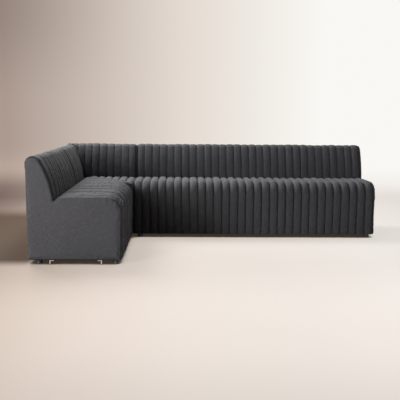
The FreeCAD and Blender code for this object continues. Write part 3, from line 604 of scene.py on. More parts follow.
def sewn_cover(strips, width, seams, variety, chance):
    """Channels side by side between seams, in random order, some the other way about and some fuller."""
    bm = bmesh.new()
    order = []
    for left, right in zip(seams, seams[1:]):
        if not order:
            order = [(strip, flip) for strip in strips for flip in (1, -1)]
            chance.shuffle(order)
        strip, flip = order.pop()
        old_verts, old_faces = len(bm.verts), len(bm.faces)
        bm.from_mesh(strip)
        bm.verts.ensure_lookup_table()
        bm.faces.ensure_lookup_table()
        added = bm.verts[old_verts:]
        bmesh.ops.scale(bm, verts=added, vec=(flip * (right - left) / width, 1, 1))
        bmesh.ops.translate(bm, verts=added, vec=((left + right) / 2, 0, 0))
        crest, out = bm.verts.layers.float["crest"], bm.verts.layers.float_vector["out"]
        fuller = max(-2 * variety, min(2 * variety, chance.gauss(0, variety)))
        for vert in added:
            vert.co += vert[out] * (vert[crest] * fuller)
        if flip < 0:
            bmesh.ops.reverse_faces(bm, faces=bm.faces[old_faces:])
    return bm


def settle(bm, amount, seed):
    """Long soft waves in the stuffing, least at the seams."""
    crest = bm.verts.layers.float["crest"]
    bm.normal_update()
    shift = Vector((seed * 1.7, seed * 2.3, seed * 0.9))
    moves = []
    for vert in bm.verts:
        wave = noise.noise(vert.co * 3.1 + shift) + 0.6 * noise.noise(vert.co * 11 + shift)
        pucker = noise.noise(Vector((vert.co.x * 14, vert.co.y * 70, vert.co.z * 70)) + shift)
        lift = amount * (wave - 0.25) * min(1.0, 2 * vert[crest])
        lift += 0.35 * amount * pucker * 4 * vert[crest] * (1 - vert[crest])
        moves.append((vert, vert.normal * lift))
    for vert, move in moves:
        vert.co += move


def channel_width(node):
    """Width of a channel, from the long unit's cover."""
    low, high = LONG.reach(node)
    return (high.x - low.x) / LONG_CHANNELS


def cover(strips, width, low, high, count, seed, sizes):
    """Channels sewn between two ends and settled."""
    chance = random.Random(seed)
    seams = even_seams(low, high, count, sizes.seam_wander, chance)
    bm = sewn_cover(strips, width, seams, sizes.channel_variety, chance)
    settle(bm, sizes.slack, seed)
    return bm


def sag(bm, sizes, amount):
    """Lets a back sit lower, most at its top."""
    crease = sizes.seat_height - sizes.crease_drop
    for vert in bm.verts:
        rise = max(0.0, vert.co.z - crease) / (sizes.back_height - crease)
        vert.co.z -= amount * rise * rise


def round_into_joint(bm, sizes, edge):
    """Rounds a back off where it meets the next unit, and paints shade into the joint by lowering its crest.
    """
    crest, pull = bm.verts.layers.float["crest"], bm.verts.layers.float["pull"]
    out = bm.verts.layers.float_vector["out"]
    for vert in bm.verts:
        off = abs(vert.co.x - edge) / sizes.joint_round
        if off < 1 and vert[crest] + vert[pull] > 0:
            vert.co -= vert[out] * (sizes.joint_fall * (1 - math.sqrt(1 - (1 - off) ** 2)))
            # Painted shade: the lower crest darkens the fabric into the joint.
            vert[crest] *= off**0.6


def cut_on_diagonal(bm):
    """Cuts off what lies beyond the corner unit's diagonal, and gives the faces that close the cut."""
    everything = bm.verts[:] + bm.edges[:] + bm.faces[:]
    bmesh.ops.bisect_plane(
        bm, geom=everything, dist=1e-6, plane_co=(0, 0, 0), plane_no=(1, 1, 0), clear_inner=True
    )
    rim = [edge for edge in bm.edges if edge.is_boundary]
    return bmesh.ops.holes_fill(bm, edges=rim)["faces"]


def mitred(bm, sizes, depth):
    """Cuts a cover on the corner unit's diagonal, and tells how far each point sinks into the mitre."""
    for face in cut_on_diagonal(bm):
        for edge in face.edges:
            edge.smooth = False
    crest = bm.verts.layers.float["crest"]
    bm.normal_update()
    moves = []
    for vert in bm.verts:
        off = (vert.co.x + vert.co.y) / math.sqrt(2) / sizes.mitre_round
        if vert[crest] > SEAM_CREST and off < 1:
            drop = depth * vert[crest] * (1 - math.sqrt(max(0.0, 1 - (1 - off) ** 2)))
            moves.append((vert, drop))
    return moves


def mirror_across(bm):
    """Turns a piece over to the other side of the corner unit's diagonal."""
    bmesh.ops.transform(bm, matrix=ACROSS_DIAGONAL, verts=bm.verts[:])
    bmesh.ops.reverse_faces(bm, faces=bm.faces[:])


def joined(first, second):
    """One bmesh from two."""
    mesh = into_mesh("half", second)
    first.from_mesh(mesh)
    bpy.data.meshes.remove(mesh)
    return first


def finished_piece(name, bm, unit, finish, nodes):
    """A new piece in its place on a unit, in its finish, standing for CAD nodes."""
    bmesh.ops.transform(bm, matrix=unit.place, verts=bm.verts[:])
    piece = linked(name, into_mesh(name, bm))
    piece.data.materials.append(finish)
    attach(piece, unit.body)
    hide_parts(*[unit.node(node) for node in nodes])
    return piece


def lay_weave(bm, across, up):
    """Lays the fabric's weave flat over a piece, along two directions."""
    weave = bm.loops.layers.uv.get("weave") or bm.loops.layers.uv.new("weave")
    across, up = Vector(across), Vector(up)
    for face in bm.faces:
        face.smooth = True
        for loop in face.loops:
            loop[weave].uv = (loop.vert.co.dot(across), loop.vert.co.dot(up))


def note_crest(bm, value):
    """Marks a plain piece as all crest, where the channelled ones note their seams."""
    crest = bm.verts.layers.float.get("crest") or bm.verts.layers.float.new("crest")
    for vert in bm.verts:
        vert[crest] = value


# Finishes
class Value:
    """A socket that carries a number, so that shader maths reads as an expression."""

    def __init__(self, finish, socket):
        self.finish = finish
        self.socket = socket

    def math(self, operation, *others):
        inputs = dict(enumerate((self,) + others))
        return self.finish.node("ShaderNodeMath", {"operation": operation}, inputs)

    def flipped(self, operation, other):
        return self.finish.node("ShaderNodeMath", {"operation": operation}, {0: other, 1: self})

    def __add__(self, other):
        return self.math("ADD", other)

    def __sub__(self, other):
        return self.math("SUBTRACT", other)

    def __mul__(self, other):
        return self.math("MULTIPLY", other)

    def __truediv__(self, other):
        return self.math("DIVIDE", other)

    def __radd__(self, other):
        return self.flipped("ADD", other)

    def __rsub__(self, other):
        return self.flipped("SUBTRACT", other)

    def __rmul__(self, other):
        return self.flipped("MULTIPLY", other)

    def sine(self):
        return self.math("SINE")

    def step(self, low, high):
        """Rises smoothly from 0 to 1 between two values."""
        settings = {"interpolation_type": "SMOOTHSTEP"}
        inputs = {"Value": self, "From Min": low, "From Max": high}
        return self.finish.node("ShaderNodeMapRange", settings, inputs)


class Finish:
    """A procedural material, or a world, made node by node."""

    def __init__(self, name, kind="materials"):
        self.owner = getattr(bpy.data, kind).new(name)
        self.owner.use_nodes = True
        self.tree = self.owner.node_tree

    def node(self, kind, settings, inputs, output=0):
        """A node of a type, with its settings and then its sockets, as the value of one of its outputs."""
        made = self.tree.nodes.new(kind)
        for name, setting in settings.items():
            if name == "stops":
                lay_stops(made.color_ramp, setting)
            else:
                setattr(made, name, setting)
        for name, value in inputs.items():
            self.feed(made.inputs[name], value)
        return Value(self, made.outputs[output])

    def feed(self, socket, value):
        if isinstance(value, Value):
            self.tree.links.new(value.socket, socket)
        else:
            socket.default_value = value

    def surface(self, **sockets):
        """Sets the surface shader's sockets by name, with underscores for spaces."""
        shader = self.tree.nodes["Principled BSDF"]
        for name, value in sockets.items():
            self.feed(shader.inputs[name.replace("_", " ")], value)
        return self.owner

    def show(self, shader):
        """Shows a shader in place of the first one."""
        self.feed(self.tree.get_output_node("ALL").inputs["Surface"], shader)
        return self.owner

    def in_view(self):
        """1 for the rays that show the background: from the camera, off metal and through glass."""
        kinds = ("Is Camera Ray", "Is Glossy Ray", "Is Transmission Ray")
        camera, glossy, clear = (self.node("ShaderNodeLightPath", {}, {}, kind) for kind in kinds)
        return camera + glossy + clear

    def object_place(self, scale=(1, 1, 1)):
        """Object coordinates, stretched."""
        return self.stretched(self.node("ShaderNodeTexCoord", {}, {}, "Object"), scale)

    def axes(self, place):
        """The three parts of a vector."""
        return [self.node("ShaderNodeSeparateXYZ", {}, {"Vector": place}, axis) for axis in "XYZ"]

    def stretched(self, place, scale):
        return self.node("ShaderNodeMapping", {}, {"Vector": place, "Scale": scale})

    def noise(self, place, scale, detail=2.0, roughness=0.5):
        inputs = {"Vector": place, "Scale": scale, "Detail": detail, "Roughness": roughness}
        return self.node("ShaderNodeTexNoise", {}, inputs)

    def mix(self, share, first, second):
        inputs = {"Factor": share, 6: first, 7: second}
        return self.node("ShaderNodeMix", {"data_type": "RGBA"}, inputs, 2)

    def tint(self, colour, strength):
        """A colour made lighter or darker by a number."""
        grey = self.node("ShaderNodeCombineColor", {}, {"Red": strength, "Green": strength, "Blue": strength})
        settings = {"data_type": "RGBA", "blend_type": "MULTIPLY"}
        return self.node("ShaderNodeMix", settings, {"Factor": 1.0, 6: colour, 7: grey}, 2)

    def bump(self, height, strength, distance):
        return self.node("ShaderNodeBump", {}, {"Height": height, "Strength": strength, "Distance": distance})


def lay_stops(ramp, stops):
    while len(ramp.elements) < len(stops):
        ramp.elements.new(1.0)
    for element, (position, colour) in zip(ramp.elements, stops):
        element.position = position
        element.color = colour


def rgba(colour):
    return (*colour, 1.0)


def woven_fabric(finishes, sizes):
    """Charcoal fabric: dark and light yarn in a fine plain weave, mottled, with painted shade that darkens it
    in the seams, towards the crease and into the joints.
    """
    finish = Finish("charcoal fabric")
    cloth = finish.node("ShaderNodeUVMap", {"uv_map": "weave"}, {})
    across, up, _ = finish.axes(cloth)
    turn = 2 * math.pi / sizes.thread_pitch
    warp = (across * turn).sine()
    weft = (up * turn).sine()
    weave = warp * weft
    place = finish.object_place()
    warp_yarn = finish.noise(finish.stretched(cloth, (900, 60, 1)), 1.0)
    weft_yarn = finish.noise(finish.stretched(cloth, (60, 900, 1)), 1.0)
    yarn = weave.step(-0.3, 0.3) * (warp_yarn - weft_yarn) + weft_yarn
    mottle = finish.noise(place, 38.0, 3.0)
    cloud = finish.noise(place, 4.0, 2.0)
    crest = finish.node("ShaderNodeAttribute", {"attribute_name": "crest"}, {}, "Fac")
    share = yarn.step(0.32, 0.68) + (mottle - 0.5) * 0.35 + (cloud - 0.5) * 0.2
    colour = finish.mix(share, rgba(finishes.yarn_dark), rgba(finishes.yarn_light))
    # Painted shade: the colour darkens where the crest share is low, in the seams, towards the crease and
    # into the joints.
    seam_shaded = finish.tint(colour, 0.45 + 0.55 * crest.step(0.02, 0.6))
    height = weave * 0.35 + yarn * 0.5 + mottle * 0.6
    return finish.surface(
        Base_Color=seam_shaded,
        Roughness=0.84 + 0.12 * mottle,
        Normal=finish.bump(height, 0.25, 0.0006),
        Specular_IOR_Level=0.1,
        Sheen_Weight=0.08,
        Sheen_Roughness=0.3,
        Sheen_Tint=(1.0, 1.0, 0.98, 1.0),
    )


def lining_cloth(finishes):
    """Thin black non-woven cloth with a pressed dot pattern."""
    finish = Finish("black lining")
    place = finish.object_place()
    dots = finish.node("ShaderNodeTexVoronoi", {}, {"Vector": place, "Scale": 420.0})
    fibre = finish.noise(place, 900.0, 3.0)
    colour = finish.mix(fibre, rgba(finishes.lining), (0.03, 0.03, 0.032, 1))
    height = dots * 0.6 + fibre * 0.4
    return finish.surface(
        Base_Color=colour, Roughness=0.75 + 0.2 * fibre,
        Normal=finish.bump(height, 0.4, 0.0004), Sheen_Weight=0.1,
    )


def open_foam(finishes):
    """Cream open-cell foam."""
    finish = Finish("open foam")
    place = finish.object_place()
    cells = finish.node("ShaderNodeTexVoronoi", {}, {"Vector": place, "Scale": 700.0})
    age = finish.noise(place, 9.0, 3.0)
    colour = finish.mix(age.step(0.3, 0.8), rgba(finishes.foam), (0.70, 0.60, 0.38, 1))
    return finish.surface(
        Base_Color=finish.tint(colour, 0.75 + 0.35 * cells), Roughness=0.9 + 0.08 * age,
        Normal=finish.bump(cells, 0.6, 0.0008),
    )


def pressed_felt(finishes):
    """Grey recycled felt with coloured fibres."""
    finish = Finish("pressed felt")
    place = finish.object_place()
    fibre = finish.noise(place, 520.0, 4.0, 0.7)
    fleck = finish.noise(place, 130.0, 2.0).step(0.58, 0.66)
    colour = finish.mix(fleck, rgba(finishes.felt), (0.16, 0.18, 0.24, 1))
    return finish.surface(
        Base_Color=finish.tint(colour, 0.7 + 0.6 * fibre), Roughness=0.88 + 0.1 * fibre,
        Normal=finish.bump(fibre, 0.5, 0.0006), Sheen_Weight=0.2,
    )


def sawn_wood(name, colour, dark, grain):
    """Raw wood with its grain along a direction and darker late wood."""
    finish = Finish(name)
    ring_scale = tuple(6.0 if axis == grain else 70.0 for axis in "XYZ")
    pore_scale = tuple(40.0 if axis == grain else 900.0 for axis in "XYZ")
    rings = finish.noise(finish.object_place(ring_scale), 1.0, 4.0, 0.6)
    pores = finish.noise(finish.object_place(pore_scale), 1.0, 2.0)
    late = (rings * 9.0).sine().step(0.1, 1.0)
    wood = finish.mix(late * 0.55 + pores * 0.2, rgba(colour), dark)
    return finish.surface(
        Base_Color=wood, Roughness=0.55 + 0.3 * pores,
        Normal=finish.bump(pores * 0.6 + late * 0.2, 0.3, 0.0005),
    )


def drawn_steel(finishes):
    """Oiled spring wire and clips."""
    finish = Finish("oiled spring steel")
    place = finish.object_place()
    smear = finish.noise(place, 60.0, 4.0)
    draw = finish.noise(place, 1400.0, 2.0)
    colour = finish.mix(smear.step(0.35, 0.75), rgba(finishes.spring_steel), (0.16, 0.13, 0.11, 1))
    return finish.surface(
        Base_Color=colour, Metallic=1.0, Roughness=0.32 + 0.3 * smear, Normal=finish.bump(draw, 0.15, 0.0002)
    )


def zinc_plate(finishes):
    """Bright zinc plate with a faint spangle and smears."""
    finish = Finish("bright zinc")
    place = finish.object_place()
    spangle = finish.node("ShaderNodeTexVoronoi", {}, {"Vector": place, "Scale": 160.0}, "Color")
    flake = finish.node("ShaderNodeSeparateColor", {}, {"Color": spangle})
    smear = finish.noise(place, 45.0, 3.0)
    colour = finish.tint(rgba(finishes.zinc), 0.82 + 0.18 * flake)
    return finish.surface(
        Base_Color=colour, Metallic=1.0, Roughness=0.22 + 0.14 * flake + 0.12 * smear,
        Normal=finish.bump(smear, 0.1, 0.0003),
    )


def moulded_plastic(finishes):
    """Black moulded plastic with a fine spark-eroded grain and scuffs near the floor."""
    finish = Finish("black plastic")
    place = finish.object_place()
    grain = finish.noise(place, 1100.0, 2.0)
    scuff = finish.noise(place, 55.0, 4.0).step(0.55, 0.72)
    low = 1 - finish.axes(place)[2].step(0.0, 0.012)
    colour = finish.mix(scuff * low * 0.6 + grain * 0.1, rgba(finishes.plastic), (0.04, 0.038, 0.036, 1))
    return finish.surface(
        Base_Color=colour, Roughness=0.42 + 0.15 * grain + 0.2 * scuff * low,
        Normal=finish.bump(grain, 0.2, 0.0002),
    )


def made_once(name, make, *values):
    """A finish that several operators share."""
    return bpy.data.materials.get(name) or make(*values)


def fabric(context):
    return made_once("charcoal fabric", woven_fabric, context.scene.sofa_finishes, context.scene.sofa_sizes)


def fabric_piece(context, unit, name, bm, node):
    """A padded piece in the fabric, standing for one CAD node of its unit."""
    piece = finished_piece(unit.node(name), bm, unit, fabric(context), [node])


def finish_nodes(units, pieces, material):
    """Puts a finish on CAD nodes that keep their own shape."""
    for unit in units:
        for piece in pieces:
            if unit.node(piece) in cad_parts:
                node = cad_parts[unit.node(piece)]
                node.data.materials.clear()
                node.data.materials.append(material)


def remeshed(mesh, voxel):
    """A mesh as an even skin of small quads."""
    plain = linked("plain", mesh)
    skin = plain.modifiers.new("Remesh", "REMESH")
    skin.mode = "VOXEL"
    skin.voxel_size = voxel
    bpy.context.view_layer.update()
    made = bpy.data.meshes.new_from_object(plain.evaluated_get(bpy.context.evaluated_depsgraph_get()))
    bpy.data.objects.remove(plain)
    return made


# Operators
class SOFA_OT_seat_covers(bpy.types.Operator):
    """Sews and stuffs the channelled seats of the three units"""

    bl_idname = "sofa.seat_covers"
    bl_label = "Seat covers"

    def execute(self, context):
        sizes = context.scene.sofa_sizes
        width = channel_width("seat_cover")
        strips = stuffed_strips(seat_channel(sizes), width, sizes, sizes.row_length, 11)
        for unit, count, seed in ((LONG, LONG_CHANNELS, 3), (RETURN, RETURN_CHANNELS, 8)):
            low, high = unit.reach("seat_cover")
            bm = cover(strips, width, low.x, high.x, count, seed, sizes)
            fabric_piece(context, unit, "channelled_seat", bm, "seat_cover")
        fabric_piece(context, CORNER, "channelled_seat", self.corner_seat(sizes, width), "seat_cover")
        return {"FINISHED"}

    def corner_seat(self, sizes, width):
        """Two halves that meet on the diagonal, drawn down at their open corner."""
        channel = corner_seat_channel(sizes, CORNER_EDGE)
        strips = stuffed_strips(channel, width, sizes, sizes.row_length * 0.7, 31)
        halves = []
        for seed in (5, 6):
            half = cover(strips, width, sizes.crease_depth, CORNER_EDGE, CORNER_CHANNELS, seed, sizes)
            for vert, drop in mitred(half, sizes, sizes.seat_mitre_fall):
                vert.co.z -= drop
            halves.append(half)
        mirror_across(halves[1])
        seat = joined(*halves)
        for vert in seat.verts:
            off = max(CORNER_EDGE - vert.co.x, CORNER_EDGE + vert.co.y) / sizes.open_corner
            if off < 1:
                vert.co.z -= sizes.open_corner_fall * (1 - off) ** 2
        return seat


class SOFA_OT_back_covers(bpy.types.Operator):
    """Sews and stuffs the channelled backs, which run over the top to a seam at the rear"""

    bl_idname = "sofa.back_covers"
    bl_label = "Back covers"

    def execute(self, context):
        sizes = context.scene.sofa_sizes
        width = channel_width("back_cover")
        strips = stuffed_strips(back_channel(sizes), width, sizes, sizes.row_length, 51)
        for unit, count, seed in ((LONG, LONG_CHANNELS, 13), (RETURN, RETURN_CHANNELS, 18)):
            low, high = unit.reach("back_cover")
            bm = cover(strips, width, low.x, high.x, count, seed, sizes)
            round_into_joint(bm, sizes, high.x if unit is RETURN else low.x)
            if unit is RETURN:
                sag(bm, sizes, sizes.return_sag)
            fabric_piece(context, unit, "channelled_back", bm, "back_cover")
        pitch = (CORNER_EDGE - sizes.crease_depth) / CORNER_CHANNELS
        spare = math.ceil(sizes.crease_depth / pitch)
        start = sizes.crease_depth - spare * pitch
        for side, seed in (("rear", 21), ("left", 22)):
            bm = cover(strips, width, start, CORNER_EDGE, CORNER_CHANNELS + spare, seed, sizes)
            round_into_joint(bm, sizes, CORNER_EDGE)
            for vert, drop in mitred(bm, sizes, sizes.back_mitre_fall):
                vert.co -= vert.normal * drop
            if side == "left":
                mirror_across(bm)
                sag(bm, sizes, sizes.return_sag)
            fabric_piece(context, CORNER, side + "_channelled_back", bm, side + "_back_cover")
        return {"FINISHED"}


class SOFA_OT_end_panels(bpy.types.Operator):
    """Makes the padded panels over the two free ends, in one piece from the base to the top of the back"""

    bl_idname = "sofa.end_panels"
    bl_label = "End panels"

    def execute(self, context):
        sizes = context.scene.sofa_sizes
        low, high = RETURN.reach("end_panel")
        panel = self.padded_panel(sizes, high.x - low.x)
        for unit in (RETURN, LONG):
            low, high = unit.reach("end_panel")
            bm = bmesh.new()
            bm.from_mesh(panel)
            if unit is LONG:
                bmesh.ops.scale(bm, vec=(-1, 1, 1), verts=bm.verts[:])
                bmesh.ops.translate(bm, vec=(high.x, 0, 0), verts=bm.verts[:])
                bmesh.ops.reverse_faces(bm, faces=bm.faces[:])
            else:
                sag(bm, sizes, sizes.return_sag + sizes.end_sag)
            lay_weave(bm, (0, -1, 0), (0, 0, 1))
            note_crest(bm, 1.0)
            fabric_piece(context, unit, "padded_end_panel", bm, "end_panel")
        return {"FINISHED"}

    def padded_panel(self, sizes, thickness):
        """The panel about its outer face at x 0, facing minus x."""
        room = 0.003  # left for the padding on each side
        voxel = 0.006
        bm = bmesh.new()
        face = trace(bm, end_outline(sizes, sizes.end_panel_inset), 0.012)
        pulled = bmesh.ops.extrude_face_region(bm, geom=face)["geom"]
        bmesh.ops.translate(bm, vec=(thickness - room, 0, 0), verts=verts_of(pulled))
        bmesh.ops.recalc_face_normals(bm, faces=bm.faces[:])
        outer, inner = (
            [edge for edge in bm.edges if all(abs(vert.co.x - x) < 1e-6 for vert in edge.verts)]
            for x in (0, thickness - room)
        )
        bmesh.ops.translate(bm, vec=(room, 0, 0), verts=list({vert for edge in outer for vert in edge.verts}))
        for border, rounding in ((outer, sizes.end_panel_round), (inner, sizes.end_panel_round / 2)):
            bmesh.ops.bevel(
                bm, geom=border, offset=rounding, affect="EDGES", segments=4, profile=0.5, material=-1
            )
        mesh = remeshed(into_mesh("end panel", bm), voxel)
        swell(mesh, points_of(mesh)[:, 0] > thickness - 2 * room, 4.0, 0.01, 0.005)
        return mesh


class SOFA_OT_joint_panels(bpy.types.Operator):
    """Closes the ends that meet a neighbour with thin lined panels"""

    bl_idname = "sofa.joint_panels"
    bl_label = "Joint panels"

    def execute(self, context):
        sizes = context.scene.sofa_sizes
        for unit, inset in ((LONG, 0.008), (RETURN, 0.016)):
            low, high = unit.reach("joint_panel")
            bm = self.panel(sizes, end_outline(sizes, inset), low.x, high.x)
            if unit is RETURN:
                sag(bm, sizes, sizes.return_sag)
            self.finish(context, bm, unit, "joint_panel")
        outer = CORNER.reach("joint_panels")[1].x
        right_outline = corner_outline(sizes, 0.010, outer - sizes.panel_slack)
        front_outline = corner_outline(sizes, 0.020, CORNER_EDGE - 0.001)
        right, front = (
            self.panel(sizes, outline, CORNER_EDGE, outer) for outline in (right_outline, front_outline)
        )
        mirror_across(front)
        sag(front, sizes, sizes.return_sag)
        self.finish(context, joined(right, front), CORNER, "joint_panels")
        return {"FINISHED"}

    def panel(self, sizes, outline, low, high):
        """A thin slab with a shallow border, between two places along its unit."""
        bm = bmesh.new()
        face = trace(bm, outline, 0.02)
        pulled = bmesh.ops.extrude_face_region(bm, geom=face)["geom"]
        bmesh.ops.translate(bm, vec=(high - low - 2 * sizes.panel_slack, 0, 0), verts=verts_of(pulled))
        bmesh.ops.translate(bm, vec=(low + sizes.panel_slack, 0, 0), verts=bm.verts[:])
        bmesh.ops.recalc_face_normals(bm, faces=bm.faces[:])
        faces = [face for face in bm.faces if abs(face.normal.x) > 0.9]
        bmesh.ops.inset_region(bm, faces=faces, thickness=0.012, depth=0.0006, use_even_offset=True)
        return bm

    def finish(self, context, bm, unit, node):
        lay_weave(bm, (0.7, -0.7, 0), (0, 0, 1))
        note_crest(bm, 1.0)
        for face in bm.faces:
            face.smooth = False
        fabric_piece(context, unit, "closing_panel", bm, node)


class SOFA_OT_outside_backs(bpy.types.Operator):
    """Stretches the plain panels over the rear, from the base to the seam under the channels"""

    bl_idname = "sofa.outside_backs"
    bl_label = "Outside backs"

    def execute(self, context):
        sizes = context.scene.sofa_sizes
        for unit in STRAIGHT_UNITS:
            low, high = unit.reach("outside_back")
            self.finish(context, self.panel(sizes, low.x, high.x), unit, "outside_back")
        halves = [self.panel(sizes, 0.004, CORNER_EDGE) for _ in range(2)]
        for half in halves:
            cut_on_diagonal(half)
        mirror_across(halves[1])
        self.finish(context, joined(*halves), CORNER, "outside_backs")
        return {"FINISHED"}

    def panel(self, sizes, low, high):
        """A soft panel in the plane of the leaning rear face."""
        cell, recess = 0.016, 0.0055
        rear = rear_run(sizes, sizes.base_height)[0]
        width, height = high - low, sizes.rear_seam - sizes.base_height
        columns, rows = max(2, round(width / cell)), round(height / cell)
        bm = bmesh.new()
        bmesh.ops.create_grid(bm, x_segments=columns, y_segments=rows, size=0.5)
        lean = Matrix.Rotation(math.pi / 2 - sizes.rear_lean, 4, "X")
        grow = Matrix.Diagonal((width, height, 1, 1))
        middle = at((low + high) / 2, Vector((rear.start.x, (sizes.base_height + sizes.rear_seam) / 2)))
        middle.y += height / 2 * math.tan(sizes.rear_lean) - recess
        bmesh.ops.transform(bm, matrix=Matrix.Translation(middle) @ lean @ grow, verts=bm.verts[:])
        bm.normal_update()
        if sum(face.normal.y for face in bm.faces) < 0:
            bmesh.ops.reverse_faces(bm, faces=bm.faces[:])
        held = [any(edge.is_boundary for edge in vert.link_edges) for vert in bm.verts]
        mesh = into_mesh("outside back", bm)
        swell(mesh, np.array(held), 2.2, 0.006, 0.003)
        bm = bmesh.new()
        bm.from_mesh(mesh)
        bmesh.ops.solidify(bm, geom=bm.faces[:], thickness=0.002)
        bmesh.ops.recalc_face_normals(bm, faces=bm.faces[:])
        return bm

    def finish(self, context, bm, unit, node):
        lay_weave(bm, (0.7, -0.7, 0), (0, 0, 1))
        note_crest(bm, 1.0)
        fabric_piece(context, unit, "plain_back", bm, node)


class SOFA_OT_dust_covers(bpy.types.Operator):
    """Stretches thin black cloth under the bases"""

    bl_idname = "sofa.dust_covers"
    bl_label = "Dust covers"

    def execute(self, context):
        material = made_once("black lining", lining_cloth, context.scene.sofa_finishes)
        for unit in ALL_UNITS:
            low, high = unit.reach("dust_cover")
            bm = bmesh.new()
            wide, deep = high.x - low.x, high.y - low.y
            bmesh.ops.create_grid(bm, x_segments=round(wide / 0.03), y_segments=round(deep / 0.03), size=0.5)
            middle = Vector(((low.x + high.x) / 2, (low.y + high.y) / 2, low.z + 0.0006))
            grow = Matrix.Diagonal((wide - 0.001, deep - 0.001, 1, 1))
            bmesh.ops.transform(bm, matrix=Matrix.Translation(middle) @ grow, verts=bm.verts[:])
            for vert in bm.verts:
                vert.co.z += 0.0005 * (noise.noise(vert.co * 13) + 0.5 * noise.noise(vert.co * 31))
            bmesh.ops.solidify(bm, geom=bm.faces[:], thickness=0.0004)
            bmesh.ops.recalc_face_normals(bm, faces=bm.faces[:])
            for face in bm.faces:
                face.smooth = True
            name = unit.node("dust_sheet")
            piece = finished_piece(name, bm, unit, material, ["dust_cover"])
            unit.node("rails")
        return {"FINISHED"}


class SOFA_OT_fillings(bpy.types.Operator):
    """Cuts the foam and felt that lie under the fabric"""

    bl_idname = "sofa.fillings"
    bl_label = "Foam and felt"

    def execute(self, context):
        finishes = context.scene.sofa_finishes
        foam = made_once("open foam", open_foam, finishes)
        felt = made_once("pressed felt", pressed_felt, finishes)
        for unit in ALL_UNITS:
            for node in ("seat_foam", "front_foam", "back_foam", "back_foams"):
                if unit.node(node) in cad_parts:
                    self.cut(unit, node, foam, "foam", 0.006, 0.9)
            self.cut(unit, "deck_pad", felt, "felt", 0.0012, 0.5)
        return {"FINISHED"}

    def cut(self, unit, node, material, slot, rounding, fill):
        """A block with the space of its CAD node and softened edges."""
        bm = bmesh.new()
        bm.from_mesh(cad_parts[unit.node(node)].data)
        bmesh.ops.remove_doubles(bm, verts=bm.verts[:], dist=1e-5)
        bmesh.ops.dissolve_limit(bm, angle_limit=math.radians(1), verts=bm.verts[:], edges=bm.edges[:])
        sharp = [edge for edge in bm.edges if edge.is_manifold and edge.calc_face_angle() > math.radians(40)]
        bmesh.ops.bevel(bm, geom=sharp, offset=rounding, affect="EDGES", segments=2, profile=0.5, material=-1)
        bm.normal_update()
        for vert in bm.verts:
            vert.co -= vert.normal * rounding / 2
        bmesh.ops.transform(bm, matrix=unit.place.inverted(), verts=bm.verts[:])
        piece = finished_piece(unit.node("cut_" + node), bm, unit, material, [node])


class SOFA_OT_frames(bpy.types.Operator):
    """Gives the plywood and timber of the frames their grain"""

    bl_idname = "sofa.frames"
    bl_label = "Timber frames"

    def execute(self, context):
        finishes = context.scene.sofa_finishes
        ply = sawn_wood("raw plywood", finishes.plywood, (0.36, 0.22, 0.11, 1), "Z")
        finish_nodes(ALL_UNITS, ("ribs", "back_board", "back_boards"), ply)
        rails = ("rails", "back_top_rail", "back_top_rails", "connector_blocks")
        dark = (0.42, 0.24, 0.10, 1)
        finish_nodes((CORNER, LONG), rails, sawn_wood("softwood along the run", finishes.timber, dark, "X"))
        finish_nodes((RETURN,), rails, sawn_wood("softwood along the return", finishes.timber, dark, "Y"))
        finish_nodes((CORNER,), ("corner_post",), sawn_wood("softwood post", finishes.timber, dark, "Z"))
        return {"FINISHED"}


class SOFA_OT_metalwork(bpy.types.Operator):
    """Finishes the springs and clips, and the zinc hooks, pins, studs and screws"""

    bl_idname = "sofa.metalwork"
    bl_label = "Metalwork"

    def execute(self, context):
        finishes = context.scene.sofa_finishes
        finish_nodes(ALL_UNITS, ("springs", "spring_clips"), drawn_steel(finishes))
        finish_nodes(ALL_UNITS, ("fasteners", "hook_plates", "pin_brackets"), zinc_plate(finishes))
        return {"FINISHED"}


class SOFA_OT_feet(bpy.types.Operator):
    """Finishes the round feet in moulded plastic"""

    bl_idname = "sofa.feet"
    bl_label = "Feet"

    def execute(self, context):
        finish_nodes(ALL_UNITS, ("feet",), moulded_plastic(context.scene.sofa_finishes))
        return {"FINISHED"}


